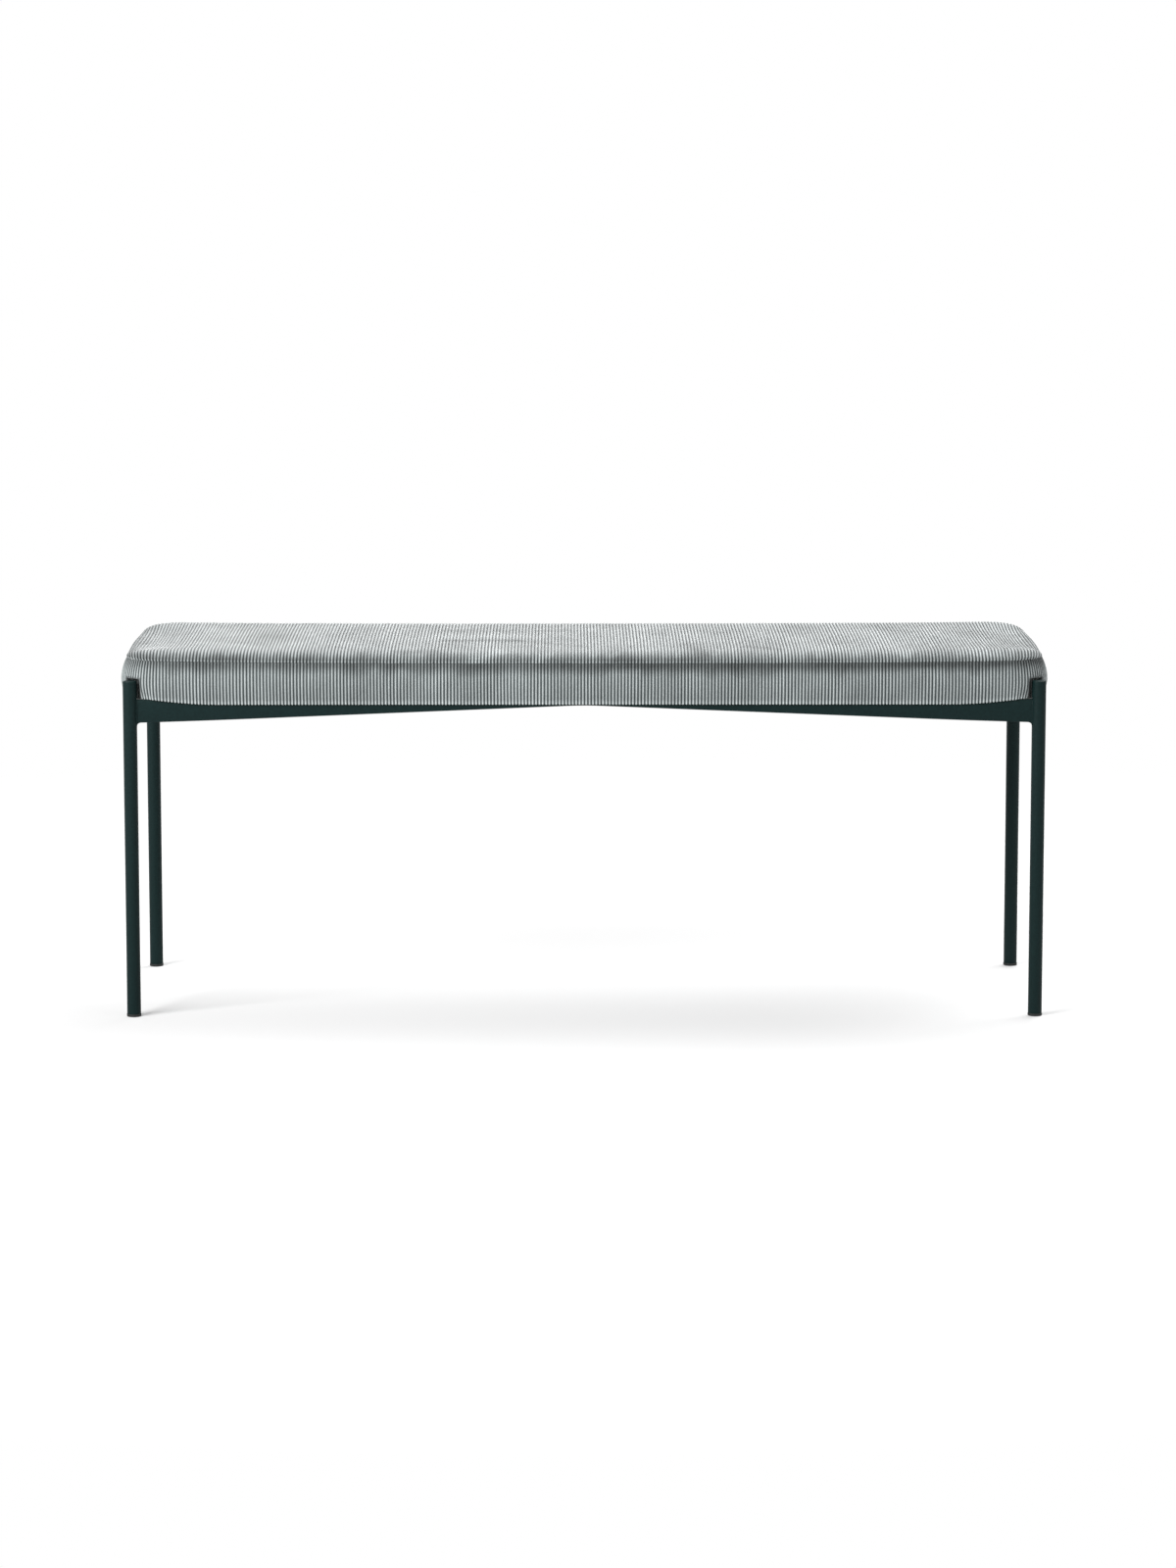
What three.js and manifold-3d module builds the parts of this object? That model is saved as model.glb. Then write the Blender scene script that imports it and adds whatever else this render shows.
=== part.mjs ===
// An upholstered bench: a long corduroy seat on a welded steel frame with four round legs.
// Millimetres, +Z up, the origin on the floor under the middle, the front towards -Y.
import * as THREE from 'three';
import { mergeVertices } from 'three/addons/utils/BufferGeometryUtils.js';
import Module from 'manifold-3d';

const wasm = await Module();
wasm.setup();

// Driving dimensions of the frame
const legAxisLength = 1172; // between the legs' axes, side to side
const legAxisDepth = 354; // between the legs' axes, front to back
const railTopHeight = 415; // floor to the top edge of the rails
const legRise = 24.3; // top of a leg above the rails
const legDiameter = 18;
const legWall = 1.5;
const fitGap = 0.3; // between pieces that touch, and round what passes through a hole
const cutOverrun = 5; // how far a cutting shape runs past what it cuts
const weldTolerance = 0.001; // points nearer than this are one point

// Leg caps and glides
const capThickness = 2.4;
const capEdge = 1.2;
const capPlugLength = 8;
const glideFlangeHeight = 3.4;
const glideProud = 0.4; // flange beyond the tube, all round
const glideEdge = 0.7;
const glidePlugLength = 14;

// Rails, cut from plate: the long ones are deep at the legs and slender in the middle
const railThickness = 6;
const railEndDepth = 29.6;
const railKneeDepth = 25.1;
const railKneeDistance = 146; // leg axis to where the lower edge turns straight
const railMiddleDepth = 7.3;
const railMiddleRound = 20; // half the length of the round at the middle
const railFillet = 6; // under the rail, at the leg
const railFilletToe = 0.6;

// Cross bearers that carry the seat board
const bearerCount = 3;
const bearerWidth = 30;
const bearerThickness = 5;

// Driving dimensions of the cushion
const coverProudEnd = 5.4; // cover beyond the legs at the ends
const coverProudSide = 3; // cover beyond the legs at the front and back
const coverCornerRadius = 55; // in plan
const coverThickness = 1.5;
const sideWidestRise = 23; // rails to the widest level of the sides
const seamRise = 48; // rails to the seam, at the middle
const seamCornerRise = 3.8; // how much higher the seam is at the corners
const seamDrawIn = 5.0; // cover at the seam, in from its widest
const shoulderReach = 42; // seam to the flat of the top, in plan
const shoulderRise = 59.2; // rails to the top of the shoulder
const crownRise = 4; // swell of the top towards its middle
const lipDrop = 6.6; // how far the lower edge of the cover hangs below the rails' top
const lipFade = 60; // length over which the lower edge rises towards a corner
const hemInset = 45; // inner edge of the turned-under hem, in from the widest
const pocketGap = 7; // leg to the wall of the corner pocket in the cushion
const pocketTopGap = 1.7; // leg top to the top of the pocket

// Seat board, foam and dust cover
const boardThickness = 15;
const foamRim = 3; // foam between the board's edge and the cover
const dustCoverThickness = 0.6;
const dustCoverLap = 10; // dust cover under the hem

// Fixings: machine screws through the bearers into T-nuts in the board
const screwInset = 67; // from a long rail's middle
const screwDiameter = 6;
const screwHeadDiameter = 11;
const screwHeadHeight = 3.3;
const screwHeadFlat = 3; // radius of the flat on the head
const screwTipGap = 2; // screw tip below the board's top
const socketWidth = 4; // across the corners
const socketDepth = 1.8;
const washerDiameter = 12.5;
const washerThickness = 1.6;
const nutBarrelWall = 1;
const nutBarrelLength = 9;
const nutFlangeDiameter = 19;
const nutFlangeThickness = 1.5;

// Facets
const legFacets = 24;
const smallFacets = 16;
const hiddenFacets = 12;
const socketFacets = 6;
const filletFacets = 6;
const cornerFacets = 6;
const longSideShares = [0.955, 0.88, 0.5, 0];
const shortSideShares = [0.6, 0];
const sideShares = [0.25, 0.58, 1];
const upperShares = [0.6];
const shoulderShares = [0.2, 0.4, 0.6, 0.8, 1];
const crownShares = [0.22, 0.5, 0.8];
const innerCornerShare = 0.12; // least plan radius of an outline, of its half-depth

// Sizes worked out from the driving ones
const legHalfLength = legAxisLength / 2;
const legHalfDepth = legAxisDepth / 2;
const legRadius = legDiameter / 2;
const bearerSpacing = legAxisLength / bearerCount;
const screwRowSpacing = legAxisDepth - 2 * screwInset;
const boreRadius = legRadius - legWall;
const legTopHeight = railTopHeight + legRise;
const coverHalfLength = legHalfLength + legRadius + coverProudEnd;
const coverHalfDepth = legHalfDepth + legRadius + coverProudSide;
const hemBottom = railTopHeight + fitGap;
const hemTop = hemBottom + coverThickness;
const boardBottom = hemTop + fitGap;
const boardTop = boardBottom + boardThickness;
const dustCoverTop = hemBottom - fitGap;
const dustCoverBottom = dustCoverTop - dustCoverThickness;
const bearerTop = dustCoverBottom - fitGap;
const bearerBottom = bearerTop - bearerThickness;
const railToCover = Math.min(coverHalfDepth - legHalfDepth, coverHalfLength - legHalfLength);
const lipInnerInset = railToCover - railThickness / 2 - fitGap;
const lipOuterInset = lipInnerInset - 2 * coverThickness;
const boardInset = lipOuterInset + coverThickness + foamRim + 2 * fitGap;
const widestHeight = railTopHeight + sideWidestRise;
const shoulderHeight = railTopHeight + shoulderRise;
const pocketRadius = legRadius + pocketGap;
const pocketTop = legTopHeight + pocketTopGap;

// Materials
const powderCoat = new THREE.MeshStandardMaterial({ color: 0x2a3737, roughness: 0.45, metalness: 0.2 });
const glidePlastic = new THREE.MeshStandardMaterial({ color: 0x1b1d1d, roughness: 0.6, metalness: 0 });
const corduroy = new THREE.MeshStandardMaterial({ color: 0xa3a8a8, roughness: 0.9, metalness: 0 });
const foamFill = new THREE.MeshStandardMaterial({ color: 0xe6dfc8, roughness: 0.95, metalness: 0 });
const plywood = new THREE.MeshStandardMaterial({ color: 0xc9a878, roughness: 0.7, metalness: 0 });
const liningCloth = new THREE.MeshStandardMaterial({ color: 0x232526, roughness: 0.95, metalness: 0 });
const zincSteel = new THREE.MeshStandardMaterial({ color: 0xb4b6b3, roughness: 0.35, metalness: 0.9 });

const bench = new THREE.Group();

// Adds one piece to the bench at a place.
function place(name, geometry, material, x = 0, y = 0, z = 0) {
  const piece = new THREE.Mesh(geometry, material);
  piece.name = name;
  piece.position.set(x, y, z);
  bench.add(piece);
}

// A closed geometry as a solid that can be cut and joined.
function toSolid(geometry) {
  const bare = geometry.clone();
  bare.deleteAttribute('normal');
  bare.deleteAttribute('uv');
  const merged = mergeVertices(bare, weldTolerance);
  const vertProperties = Float32Array.from(merged.attributes.position.array);
  const triVerts = Uint32Array.from(merged.index.array);
  return new wasm.Manifold(new wasm.Mesh({ numProp: 3, vertProperties, triVerts }));
}

// A solid as a geometry again.
function toGeometry(solid) {
  const { vertProperties, triVerts } = solid.getMesh();
  const geometry = new THREE.BufferGeometry();
  geometry.setAttribute('position', new THREE.BufferAttribute(vertProperties, 3));
  geometry.setIndex(new THREE.BufferAttribute(triVerts, 1));
  geometry.computeVertexNormals();
  return geometry;
}

// A profile of [radius, height] pairs turned about +Z.
function turned(profile, facets) {
  const points = profile.map(([radius, height]) => new THREE.Vector2(radius, height));
  return new THREE.LatheGeometry(points, facets).rotateX(Math.PI / 2);
}

// A ring or tube about +Z with square ends.
function ring(inner, outer, bottom, top, facets) {
  const profile = [[inner, bottom], [outer, bottom], [outer, top], [inner, top], [inner, bottom]];
  return turned(profile, facets);
}

// An upright round bar between two heights, with its axis at x, y.
function roundBar(radius, bottom, top, x, y, facets) {
  const bar = new THREE.CylinderGeometry(radius, radius, top - bottom, facets);
  return bar.rotateX(Math.PI / 2).translate(x, y, (bottom + top) / 2);
}

// Calls back for each leg with its name and the signs of its place.
function eachLeg(callback) {
  for (const [row, ySign] of [['front', -1], ['back', 1]]) {
    for (const [end, xSign] of [['left', -1], ['right', 1]]) {
      callback(`${row}_${end}`, xSign, ySign);
    }
  }
}

// The four upright bars round the legs' axes, joined, that cut the rails and the cushion.
function barsAtLegs(radius, bottom, top) {
  let bars = null;
  eachLeg((name, xSign, ySign) => {
    const x = xSign * legHalfLength;
    const y = ySign * legHalfDepth;
    const bar = toSolid(roundBar(radius, bottom, top, x, y, legFacets));
    bars = bars ? bars.add(bar) : bar;
  });
  return bars;
}

// Leg tube, welded cap and plug-in glide, all turned about the leg's axis
function makeLegs() {
  const tubeBottom = glideFlangeHeight + fitGap;
  const capBottom = legTopHeight - capThickness;
  const plugRadius = boreRadius - fitGap;
  const flangeRadius = legRadius + glideProud;
  const tube = ring(boreRadius, legRadius, tubeBottom, capBottom - fitGap, legFacets);
  const cap = turned([
    [0, capBottom - capPlugLength],
    [plugRadius, capBottom - capPlugLength],
    [plugRadius, capBottom],
    [legRadius, capBottom],
    [legRadius, legTopHeight - capEdge],
    [legRadius - capEdge * (1 - Math.SQRT1_2), legTopHeight - capEdge * (1 - Math.SQRT1_2)],
    [legRadius - capEdge, legTopHeight],
    [0, legTopHeight],
  ], legFacets);
  const glide = turned([
    [0, 0],
    [flangeRadius - glideEdge, 0],
    [flangeRadius, glideEdge],
    [flangeRadius, glideFlangeHeight],
    [plugRadius, glideFlangeHeight],
    [plugRadius, glideFlangeHeight + glidePlugLength],
    [0, glideFlangeHeight + glidePlugLength],
  ], legFacets);
  eachLeg((name, xSign, ySign) => {
    const x = xSign * legHalfLength;
    const y = ySign * legHalfDepth;
    place(`leg_${name}`, tube, powderCoat, x, y);
    place(`leg_cap_${name}`, cap, powderCoat, x, y);
    place(`glide_${name}`, glide, glidePlastic, x, y);
  });
}

// Draws the hollow fillet under a rail at one of its ends, going towards +X.
function drawFilletAtLeg(outline, side, halfSpan) {
  const toe = halfSpan - legRadius - fitGap - railFilletToe;
  const centre = { x: side * (toe - railFillet), z: -railEndDepth - railFillet };
  for (let step = 0; step <= filletFacets; step += 1) {
    const share = side < 0 ? step / filletFacets : 1 - step / filletFacets;
    const angle = (share * Math.PI) / 2;
    const x = centre.x + side * railFillet * Math.cos(angle);
    outline.lineTo(x, centre.z + railFillet * Math.sin(angle));
  }
}

// A rail's outline seen from its face: x along it, y up from its top edge.
function railOutline(halfSpan, isTapered) {
  const low = -railEndDepth - railFillet;
  const outline = new THREE.Shape();
  outline.moveTo(-halfSpan, 0);
  outline.lineTo(-halfSpan, low);
  drawFilletAtLeg(outline, -1, halfSpan);
  if (isTapered) {
    const knee = halfSpan - railKneeDistance;
    const slope = (railKneeDepth - railMiddleDepth) / knee;
    const bendX = halfSpan - legRadius - railKneeDistance / 2;
    const bendZ = -railKneeDepth - slope * (bendX - knee);
    const roundZ = -railMiddleDepth - slope * railMiddleRound;
    const endX = halfSpan - legRadius - fitGap - railFilletToe - railFillet;
    outline.quadraticCurveTo(-bendX, bendZ, -knee, -railKneeDepth);
    outline.lineTo(-railMiddleRound, roundZ);
    outline.quadraticCurveTo(0, -railMiddleDepth, railMiddleRound, roundZ);
    outline.lineTo(knee, -railKneeDepth);
    outline.quadraticCurveTo(bendX, bendZ, endX, -railEndDepth);
  }
  drawFilletAtLeg(outline, 1, halfSpan);
  outline.lineTo(halfSpan, low);
  outline.lineTo(halfSpan, 0);
  return outline;
}

// A plate of the outline, standing upright with its thickness centred on y = 0.
function railPlate(halfSpan, isTapered) {
  const plate = new THREE.ExtrudeGeometry(railOutline(halfSpan, isTapered), {
    depth: railThickness,
    bevelEnabled: false,
    curveSegments: filletFacets,
  });
  return plate.translate(0, 0, -railThickness / 2).rotateX(Math.PI / 2).translate(0, 0, railTopHeight);
}

// The four rails, each coped to the legs that it is welded to
function makeRails() {
  const low = railTopHeight - railEndDepth - railFillet - cutOverrun;
  const legs = barsAtLegs(legRadius + fitGap, low, railTopHeight + cutOverrun);
  for (const [name, sign] of [['front', -1], ['back', 1]]) {
    const plate = railPlate(legHalfLength, true).translate(0, sign * legHalfDepth, 0);
    place(`rail_${name}`, toGeometry(toSolid(plate).subtract(legs)), powderCoat);
  }
  for (const [name, sign] of [['left', -1], ['right', 1]]) {
    const plate = railPlate(legHalfDepth, false).rotateZ(Math.PI / 2).translate(sign * legHalfLength, 0, 0);
    place(`rail_${name}`, toGeometry(toSolid(plate).subtract(legs)), powderCoat);
  }
}

// Calls back for each screw with its number and its place.
function eachScrew(callback) {
  let number = 0;
  for (let bearer = 0; bearer < bearerCount; bearer += 1) {
    for (const ySign of [-1, 1]) {
      number += 1;
      callback(number, bearerPlace(bearer), (ySign * screwRowSpacing) / 2);
    }
  }
}

// Where a bearer stands along the bench.
function bearerPlace(bearer) {
  return (bearer - (bearerCount - 1) / 2) * bearerSpacing;
}

// A round hole, as a path to cut out of a shape.
function roundHole(x, y, radius) {
  return new THREE.Path().absarc(x, y, radius, 0, 2 * Math.PI, true);
}

// Flat bars welded between the long rails, with a clearance hole for each screw
function makeBearers() {
  const halfLength = legHalfDepth - railThickness / 2 - fitGap;
  const outline = new THREE.Shape();
  outline.moveTo(-bearerWidth / 2, -halfLength);
  outline.lineTo(bearerWidth / 2, -halfLength);
  outline.lineTo(bearerWidth / 2, halfLength);
  outline.lineTo(-bearerWidth / 2, halfLength);
  const holeRadius = screwDiameter / 2 + fitGap;
  outline.holes.push(roundHole(0, -screwRowSpacing / 2, holeRadius));
  outline.holes.push(roundHole(0, screwRowSpacing / 2, holeRadius));
  const options = { depth: bearerThickness, bevelEnabled: false, curveSegments: smallFacets };
  const bar = new THREE.ExtrudeGeometry(outline, options);
  for (let bearer = 0; bearer < bearerCount; bearer += 1) {
    place(`bearer_${bearer + 1}`, bar, powderCoat, bearerPlace(bearer), 0, bearerBottom);
  }
}

// The cushion's outline in plan, drawn in by an inset, as points going round anticlockwise.
function outlineAt(inset) {
  const halfX = coverHalfLength - inset;
  const halfY = coverHalfDepth - inset;
  const radius = Math.max(coverCornerRadius - inset, innerCornerShare * halfY);
  const straightX = halfX - radius;
  const straightY = halfY - radius;
  const points = [];
  for (let quarter = 0; quarter < 4; quarter += 1) {
    const xSign = quarter === 0 || quarter === 3 ? 1 : -1;
    const ySign = quarter < 2 ? 1 : -1;
    for (let step = 0; step <= cornerFacets; step += 1) {
      const angle = ((quarter + step / cornerFacets) * Math.PI) / 2;
      const x = xSign * straightX + radius * Math.cos(angle);
      points.push([x, ySign * straightY + radius * Math.sin(angle)]);
    }
    const isLong = quarter % 2 === 0;
    const half = isLong ? longSideShares : shortSideShares;
    const shares = [...half, ...half.slice(0, -1).reverse().map((share) => -share)];
    for (const share of shares) {
      const x = isLong ? xSign * share * straightX : xSign * halfX;
      points.push([x, isLong ? ySign * halfY : ySign * share * straightY]);
    }
  }
  return points;
}

// A level of the cushion: an inset and the height of each point of its outline.
function level(inset, height) {
  return outlineAt(inset).map(([x, y]) => [x, y, typeof height === 'function' ? height(x, y) : height]);
}

// Joins each level to the next with a band of triangles, and the last to the first if it is a loop.
function bandTriangles(levels, isLoop) {
  const count = levels[0].length;
  const triangles = [];
  const bands = isLoop ? levels.length : levels.length - 1;
  for (let band = 0; band < bands; band += 1) {
    const low = band * count;
    const high = ((band + 1) % levels.length) * count;
    for (let point = 0; point < count; point += 1) {
      const next = (point + 1) % count;
      triangles.push(low + point, low + next, high + next, low + point, high + next, high + point);
    }
  }
  return triangles;
}

// Closes a level with triangles that run to a straight ridge along the bench's middle.
function capTriangles(positions, start, count, height, facesUp) {
  const ridgeEnd = coverHalfLength - coverHalfDepth;
  const triangles = [];
  const ridge = [];
  for (let point = 0; point < count; point += 1) {
    const x = positions[(start + point) * 3];
    ridge.push(positions.length / 3);
    positions.push(Math.max(-ridgeEnd, Math.min(ridgeEnd, x)), 0, height);
  }
  for (let point = 0; point < count; point += 1) {
    const next = (point + 1) % count;
    const a = start + point;
    const b = start + next;
    const [c, d] = [ridge[next], ridge[point]];
    triangles.push(...(facesUp ? [a, b, c] : [b, a, c]));
    if (Math.abs(positions[c * 3] - positions[d * 3]) > weldTolerance) {
      triangles.push(...(facesUp ? [a, c, d] : [c, a, d]));
    }
  }
  return triangles;
}

// A geometry from positions and triangles, its equal points merged.
function meshed(positions, triangles) {
  const geometry = new THREE.BufferGeometry();
  geometry.setAttribute('position', new THREE.Float32BufferAttribute(positions, 3));
  geometry.setIndex(triangles);
  const merged = mergeVertices(geometry, weldTolerance);
  merged.computeVertexNormals();
  return merged;
}

// A solid from levels stacked upwards, closed at its first and its last level.
function stacked(levels, bottom, top) {
  const count = levels[0].length;
  const positions = levels.flat(2);
  const triangles = bandTriangles(levels, false);
  triangles.push(...capTriangles(positions, 0, count, bottom, false));
  triangles.push(...capTriangles(positions, (levels.length - 1) * count, count, top, true));
  return meshed(positions, triangles);
}

// A ring-shaped solid whose section is the loop of levels.
function looped(levels) {
  return meshed(levels.flat(2), bandTriangles(levels, true));
}

// A flat slab of the cushion's outline.
function slab(inset, bottom, top) {
  return stacked([level(inset, bottom), level(inset, top)], bottom, top);
}

// 0 round a corner, rising smoothly to 1 where the lower edge of the cover hangs lowest.
function awayFromCorners(x, y) {
  const alongX = coverHalfLength - coverCornerRadius - Math.abs(x);
  const alongY = coverHalfDepth - coverCornerRadius - Math.abs(y);
  const share = Math.min(Math.max(alongX, alongY, 0) / lipFade, 1);
  return (1 - Math.cos(Math.PI * share)) / 2;
}

// Height of the lower edge of the cover.
function lipHeight(x, y) {
  return hemBottom - lipDrop * awayFromCorners(x, y);
}

// Height of the cover where the round lower edge turns into the side.
function lipSideHeight(x, y) {
  return lipHeight(x, y) + coverThickness * awayFromCorners(x, y);
}

// Height of the seam, which climbs towards the corners.
function seamHeight(x) {
  const share = Math.min(Math.abs(x) / legHalfLength, 1);
  return railTopHeight + seamRise + seamCornerRise * share ** 3;
}

// How much the crown lifts an outline with this inset.
function crownAt(inset) {
  return crownRise * (1 - (1 - inset / coverHalfDepth) ** 2);
}

// The drawn-in side from its foot to the seam, for a surface that lies depth inside the cover's.
function sideLevels(depth, footHeight, seamDrop) {
  const levels = [level(lipOuterInset + depth, footHeight)];
  for (const share of sideShares) {
    const inset = lipOuterInset * (1 - Math.sin((share * Math.PI) / 2));
    levels.push(level(inset + depth, (x, y) => {
      const foot = typeof footHeight === 'function' ? footHeight(x, y) : footHeight;
      return foot + share * (widestHeight - foot);
    }));
  }
  for (const share of [...upperShares, 1]) {
    const drop = share === 1 ? seamDrop : 0;
    const height = (x) => widestHeight + share * (seamHeight(x) - widestHeight) - drop;
    levels.push(level(seamDrawIn * share ** 2 + depth, height));
  }
  return levels;
}

// The shoulder and the crowned top above the seam, for a surface that lies depth inside the cover's.
function topLevels(depth) {
  const levels = [];
  for (const share of shoulderShares) {
    const angle = (share * Math.PI) / 2;
    const reach = shoulderReach * (1 - Math.cos(angle));
    const rise = shoulderRise - seamRise;
    const across = rise * Math.cos(angle);
    const up = shoulderReach * Math.sin(angle);
    const inset = seamDrawIn + reach + (depth * across) / Math.hypot(across, up);
    const drop = (depth * up) / Math.hypot(across, up);
    const lift = crownAt(seamDrawIn + reach) - drop;
    const height = (x) => seamHeight(x) + (shoulderHeight - seamHeight(x)) * Math.sin(angle) + lift;
    levels.push(level(inset, height));
  }
  const edge = seamDrawIn + shoulderReach;
  for (const share of crownShares) {
    const inset = edge + (coverHalfDepth - edge) * share;
    levels.push(level(inset, shoulderHeight + crownAt(inset) - depth));
  }
  return levels;
}

// Foam block with crown, drawn-in sides, corner pockets and a recess for the board
function makeFoam() {
  const depth = coverThickness + fitGap;
  const top = shoulderHeight + crownRise - depth;
  const levels = [...sideLevels(depth, boardBottom, 0), ...topLevels(depth)];
  const block = toSolid(stacked(levels, boardBottom, top));
  const recess = toSolid(slab(boardInset - fitGap, boardBottom - cutOverrun, boardTop + fitGap));
  const pockets = barsAtLegs(pocketRadius + depth, boardBottom - cutOverrun, pocketTop + depth);
  place('seat_foam', toGeometry(block.subtract(recess).subtract(pockets)), foamFill);
}

// Top panel of the cover, from seam to seam
function makeTopPanel() {
  const edge = (depth) => level(seamDrawIn + depth, (x) => seamHeight(x) + fitGap / 2 + crownAt(seamDrawIn));
  const outer = [edge(0), ...topLevels(0)];
  const inner = [edge(coverThickness), ...topLevels(coverThickness)];
  const top = shoulderHeight + crownRise;
  const panel = stacked([...inner.reverse(), ...outer], top - coverThickness, top);
  place('cover_top_panel', panel, corduroy);
}

// Side band of the cover: turned under as a hem, with a lined pocket round each leg top
function makeSideBand() {
  const middleInset = (lipInnerInset + lipOuterInset) / 2;
  const outer = sideLevels(0, lipSideHeight, fitGap / 2);
  const inner = sideLevels(coverThickness, hemTop, fitGap / 2);
  const section = [
    level(hemInset, hemBottom),
    level(lipInnerInset, hemBottom),
    level(lipInnerInset, lipSideHeight),
    level(middleInset, lipHeight),
    ...outer,
    ...inner.reverse(),
    level(hemInset, hemTop),
  ];
  const seam = railTopHeight + seamRise;
  const space = toSolid(stacked(outer, hemBottom, seam));
  const lining = barsAtLegs(pocketRadius + coverThickness, hemBottom, pocketTop + coverThickness);
  const pockets = barsAtLegs(pocketRadius, hemBottom - lipDrop - cutOverrun, pocketTop);
  const band = toSolid(looped(section)).add(lining.intersect(space)).subtract(pockets);
  place('cover_side_band', toGeometry(band), corduroy);
}

// Plywood board with a stepped hole for each T-nut and its corners cut clear of the pockets
function makeBoard() {
  let board = toSolid(slab(boardInset, boardBottom, boardTop));
  board = board.subtract(
    barsAtLegs(pocketRadius + coverThickness + fitGap, boardBottom - cutOverrun, boardTop + cutOverrun),
  );
  const barrelRadius = screwDiameter / 2 + fitGap + nutBarrelWall;
  const seat = boardTop - nutFlangeThickness - fitGap;
  eachScrew((number, x, y) => {
    const low = boardBottom - cutOverrun;
    const high = boardTop + cutOverrun;
    board = board.subtract(toSolid(roundBar(barrelRadius + fitGap, low, high, x, y, hiddenFacets)));
    const counterbore = roundBar(nutFlangeDiameter / 2 + fitGap, seat, high, x, y, hiddenFacets);
    board = board.subtract(toSolid(counterbore));
  });
  place('seat_board', toGeometry(board), plywood);
}

// Thin cloth under the board that laps the hem, pierced for the screws
function makeDustCover() {
  let cloth = toSolid(slab(hemInset - dustCoverLap, dustCoverBottom, dustCoverTop));
  eachScrew((number, x, y) => {
    const low = dustCoverBottom - cutOverrun;
    const high = dustCoverTop + cutOverrun;
    cloth = cloth.subtract(toSolid(roundBar(screwDiameter / 2 + fitGap, low, high, x, y, smallFacets)));
  });
  place('dust_cover', toGeometry(cloth), liningCloth);
}

// Button-head screw with a hexagon socket, its washer and its T-nut
function makeFixings() {
  const washerTop = bearerBottom - fitGap;
  const washerBottom = washerTop - washerThickness;
  const headTop = washerBottom - fitGap;
  const headBottom = headTop - screwHeadHeight;
  const shankRadius = screwDiameter / 2;
  const headRadius = screwHeadDiameter / 2;
  const body = turned([
    [0, headBottom],
    [screwHeadFlat, headBottom],
    [(screwHeadFlat + headRadius) / 2, headBottom + screwHeadHeight / 4],
    [headRadius, headTop - screwHeadHeight / 4],
    [headRadius, headTop],
    [shankRadius, headTop],
    [shankRadius, boardTop - screwTipGap],
    [0, boardTop - screwTipGap],
  ], smallFacets);
  const socketLow = headBottom - cutOverrun;
  const socket = roundBar(socketWidth / 2, socketLow, headBottom + socketDepth, 0, 0, socketFacets);
  const screw = toGeometry(toSolid(body).subtract(toSolid(socket)));
  const holeRadius = shankRadius + fitGap;
  const washer = ring(holeRadius, washerDiameter / 2, washerBottom, washerTop, smallFacets);
  const barrelRadius = holeRadius + nutBarrelWall;
  const flangeBottom = boardTop - nutFlangeThickness;
  const nut = turned([
    [holeRadius, flangeBottom - nutBarrelLength],
    [barrelRadius, flangeBottom - nutBarrelLength],
    [barrelRadius, flangeBottom],
    [nutFlangeDiameter / 2, flangeBottom],
    [nutFlangeDiameter / 2, boardTop],
    [holeRadius, boardTop],
    [holeRadius, flangeBottom - nutBarrelLength],
  ], hiddenFacets);
  eachScrew((number, x, y) => {
    place(`screw_${number}`, screw, zincSteel, x, y);
    place(`washer_${number}`, washer, zincSteel, x, y);
    place(`t_nut_${number}`, nut, zincSteel, x, y);
  });
}

makeLegs();
makeRails();
makeBearers();
makeFoam();
makeTopPanel();
makeSideBand();
makeBoard();
makeDustCover();
makeFixings();

export default bench;
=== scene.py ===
"""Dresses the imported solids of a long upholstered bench.

The seat is a foam block on a plywood board, in a cover of wide-ribbed corduroy sewn from a top panel and
a side band. It stands on a welded frame of round steel legs and plate rails. Lengths are in metres, in
the frame of the solids: +X to the right, +Y to the back, +Z up.
"""

import logging
import math
from dataclasses import dataclass, field
from enum import Enum

import bmesh
import bpy
import numpy as np
from mathutils import Matrix, Vector
from mathutils.kdtree import KDTree

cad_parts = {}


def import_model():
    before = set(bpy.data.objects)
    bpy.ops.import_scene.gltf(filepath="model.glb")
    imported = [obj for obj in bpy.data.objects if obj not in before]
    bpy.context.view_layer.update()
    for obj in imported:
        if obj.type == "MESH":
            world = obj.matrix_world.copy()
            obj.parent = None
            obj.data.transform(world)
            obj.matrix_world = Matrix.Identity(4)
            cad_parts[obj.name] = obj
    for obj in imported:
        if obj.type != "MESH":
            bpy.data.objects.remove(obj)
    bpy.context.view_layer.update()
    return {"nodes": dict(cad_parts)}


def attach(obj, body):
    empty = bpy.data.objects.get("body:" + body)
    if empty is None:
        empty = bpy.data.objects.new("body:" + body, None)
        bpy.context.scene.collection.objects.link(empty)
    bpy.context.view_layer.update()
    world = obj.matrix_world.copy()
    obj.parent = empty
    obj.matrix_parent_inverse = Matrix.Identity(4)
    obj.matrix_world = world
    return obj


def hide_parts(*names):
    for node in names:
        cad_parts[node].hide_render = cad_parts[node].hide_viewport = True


MM = 0.001
FULL_TURN = 2 * math.pi
QUARTER_TURN = math.pi / 2
TINY = 1e-9
NOISE = (0.3, 0.7)  # where most of a noise's values lie
log = logging.getLogger("bench")

Material = bpy.types.Material
Node = bpy.types.Node
NodeTree = bpy.types.NodeTree
Piece = bpy.types.Object
BMesh = bmesh.types.BMesh
Array = np.ndarray
Place = tuple[float, float]
Profile = list[Place]


class Slot(Enum):
    """The material slots."""

    POWDER_COAT = "powder_coat"
    GLIDE_PLASTIC = "glide_plastic"
    CORDUROY = "corduroy"
    FOAM = "foam"
    PLYWOOD = "plywood"
    DUST_CLOTH = "dust_cloth"
    ZINC_STEEL = "zinc_steel"


class RailKind(Enum):
    """The two outlines of a rail: tapered to the middle, or straight."""

    TAPERED = "tapered"
    STRAIGHT = "straight"


# Colours and shader nodes


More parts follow.
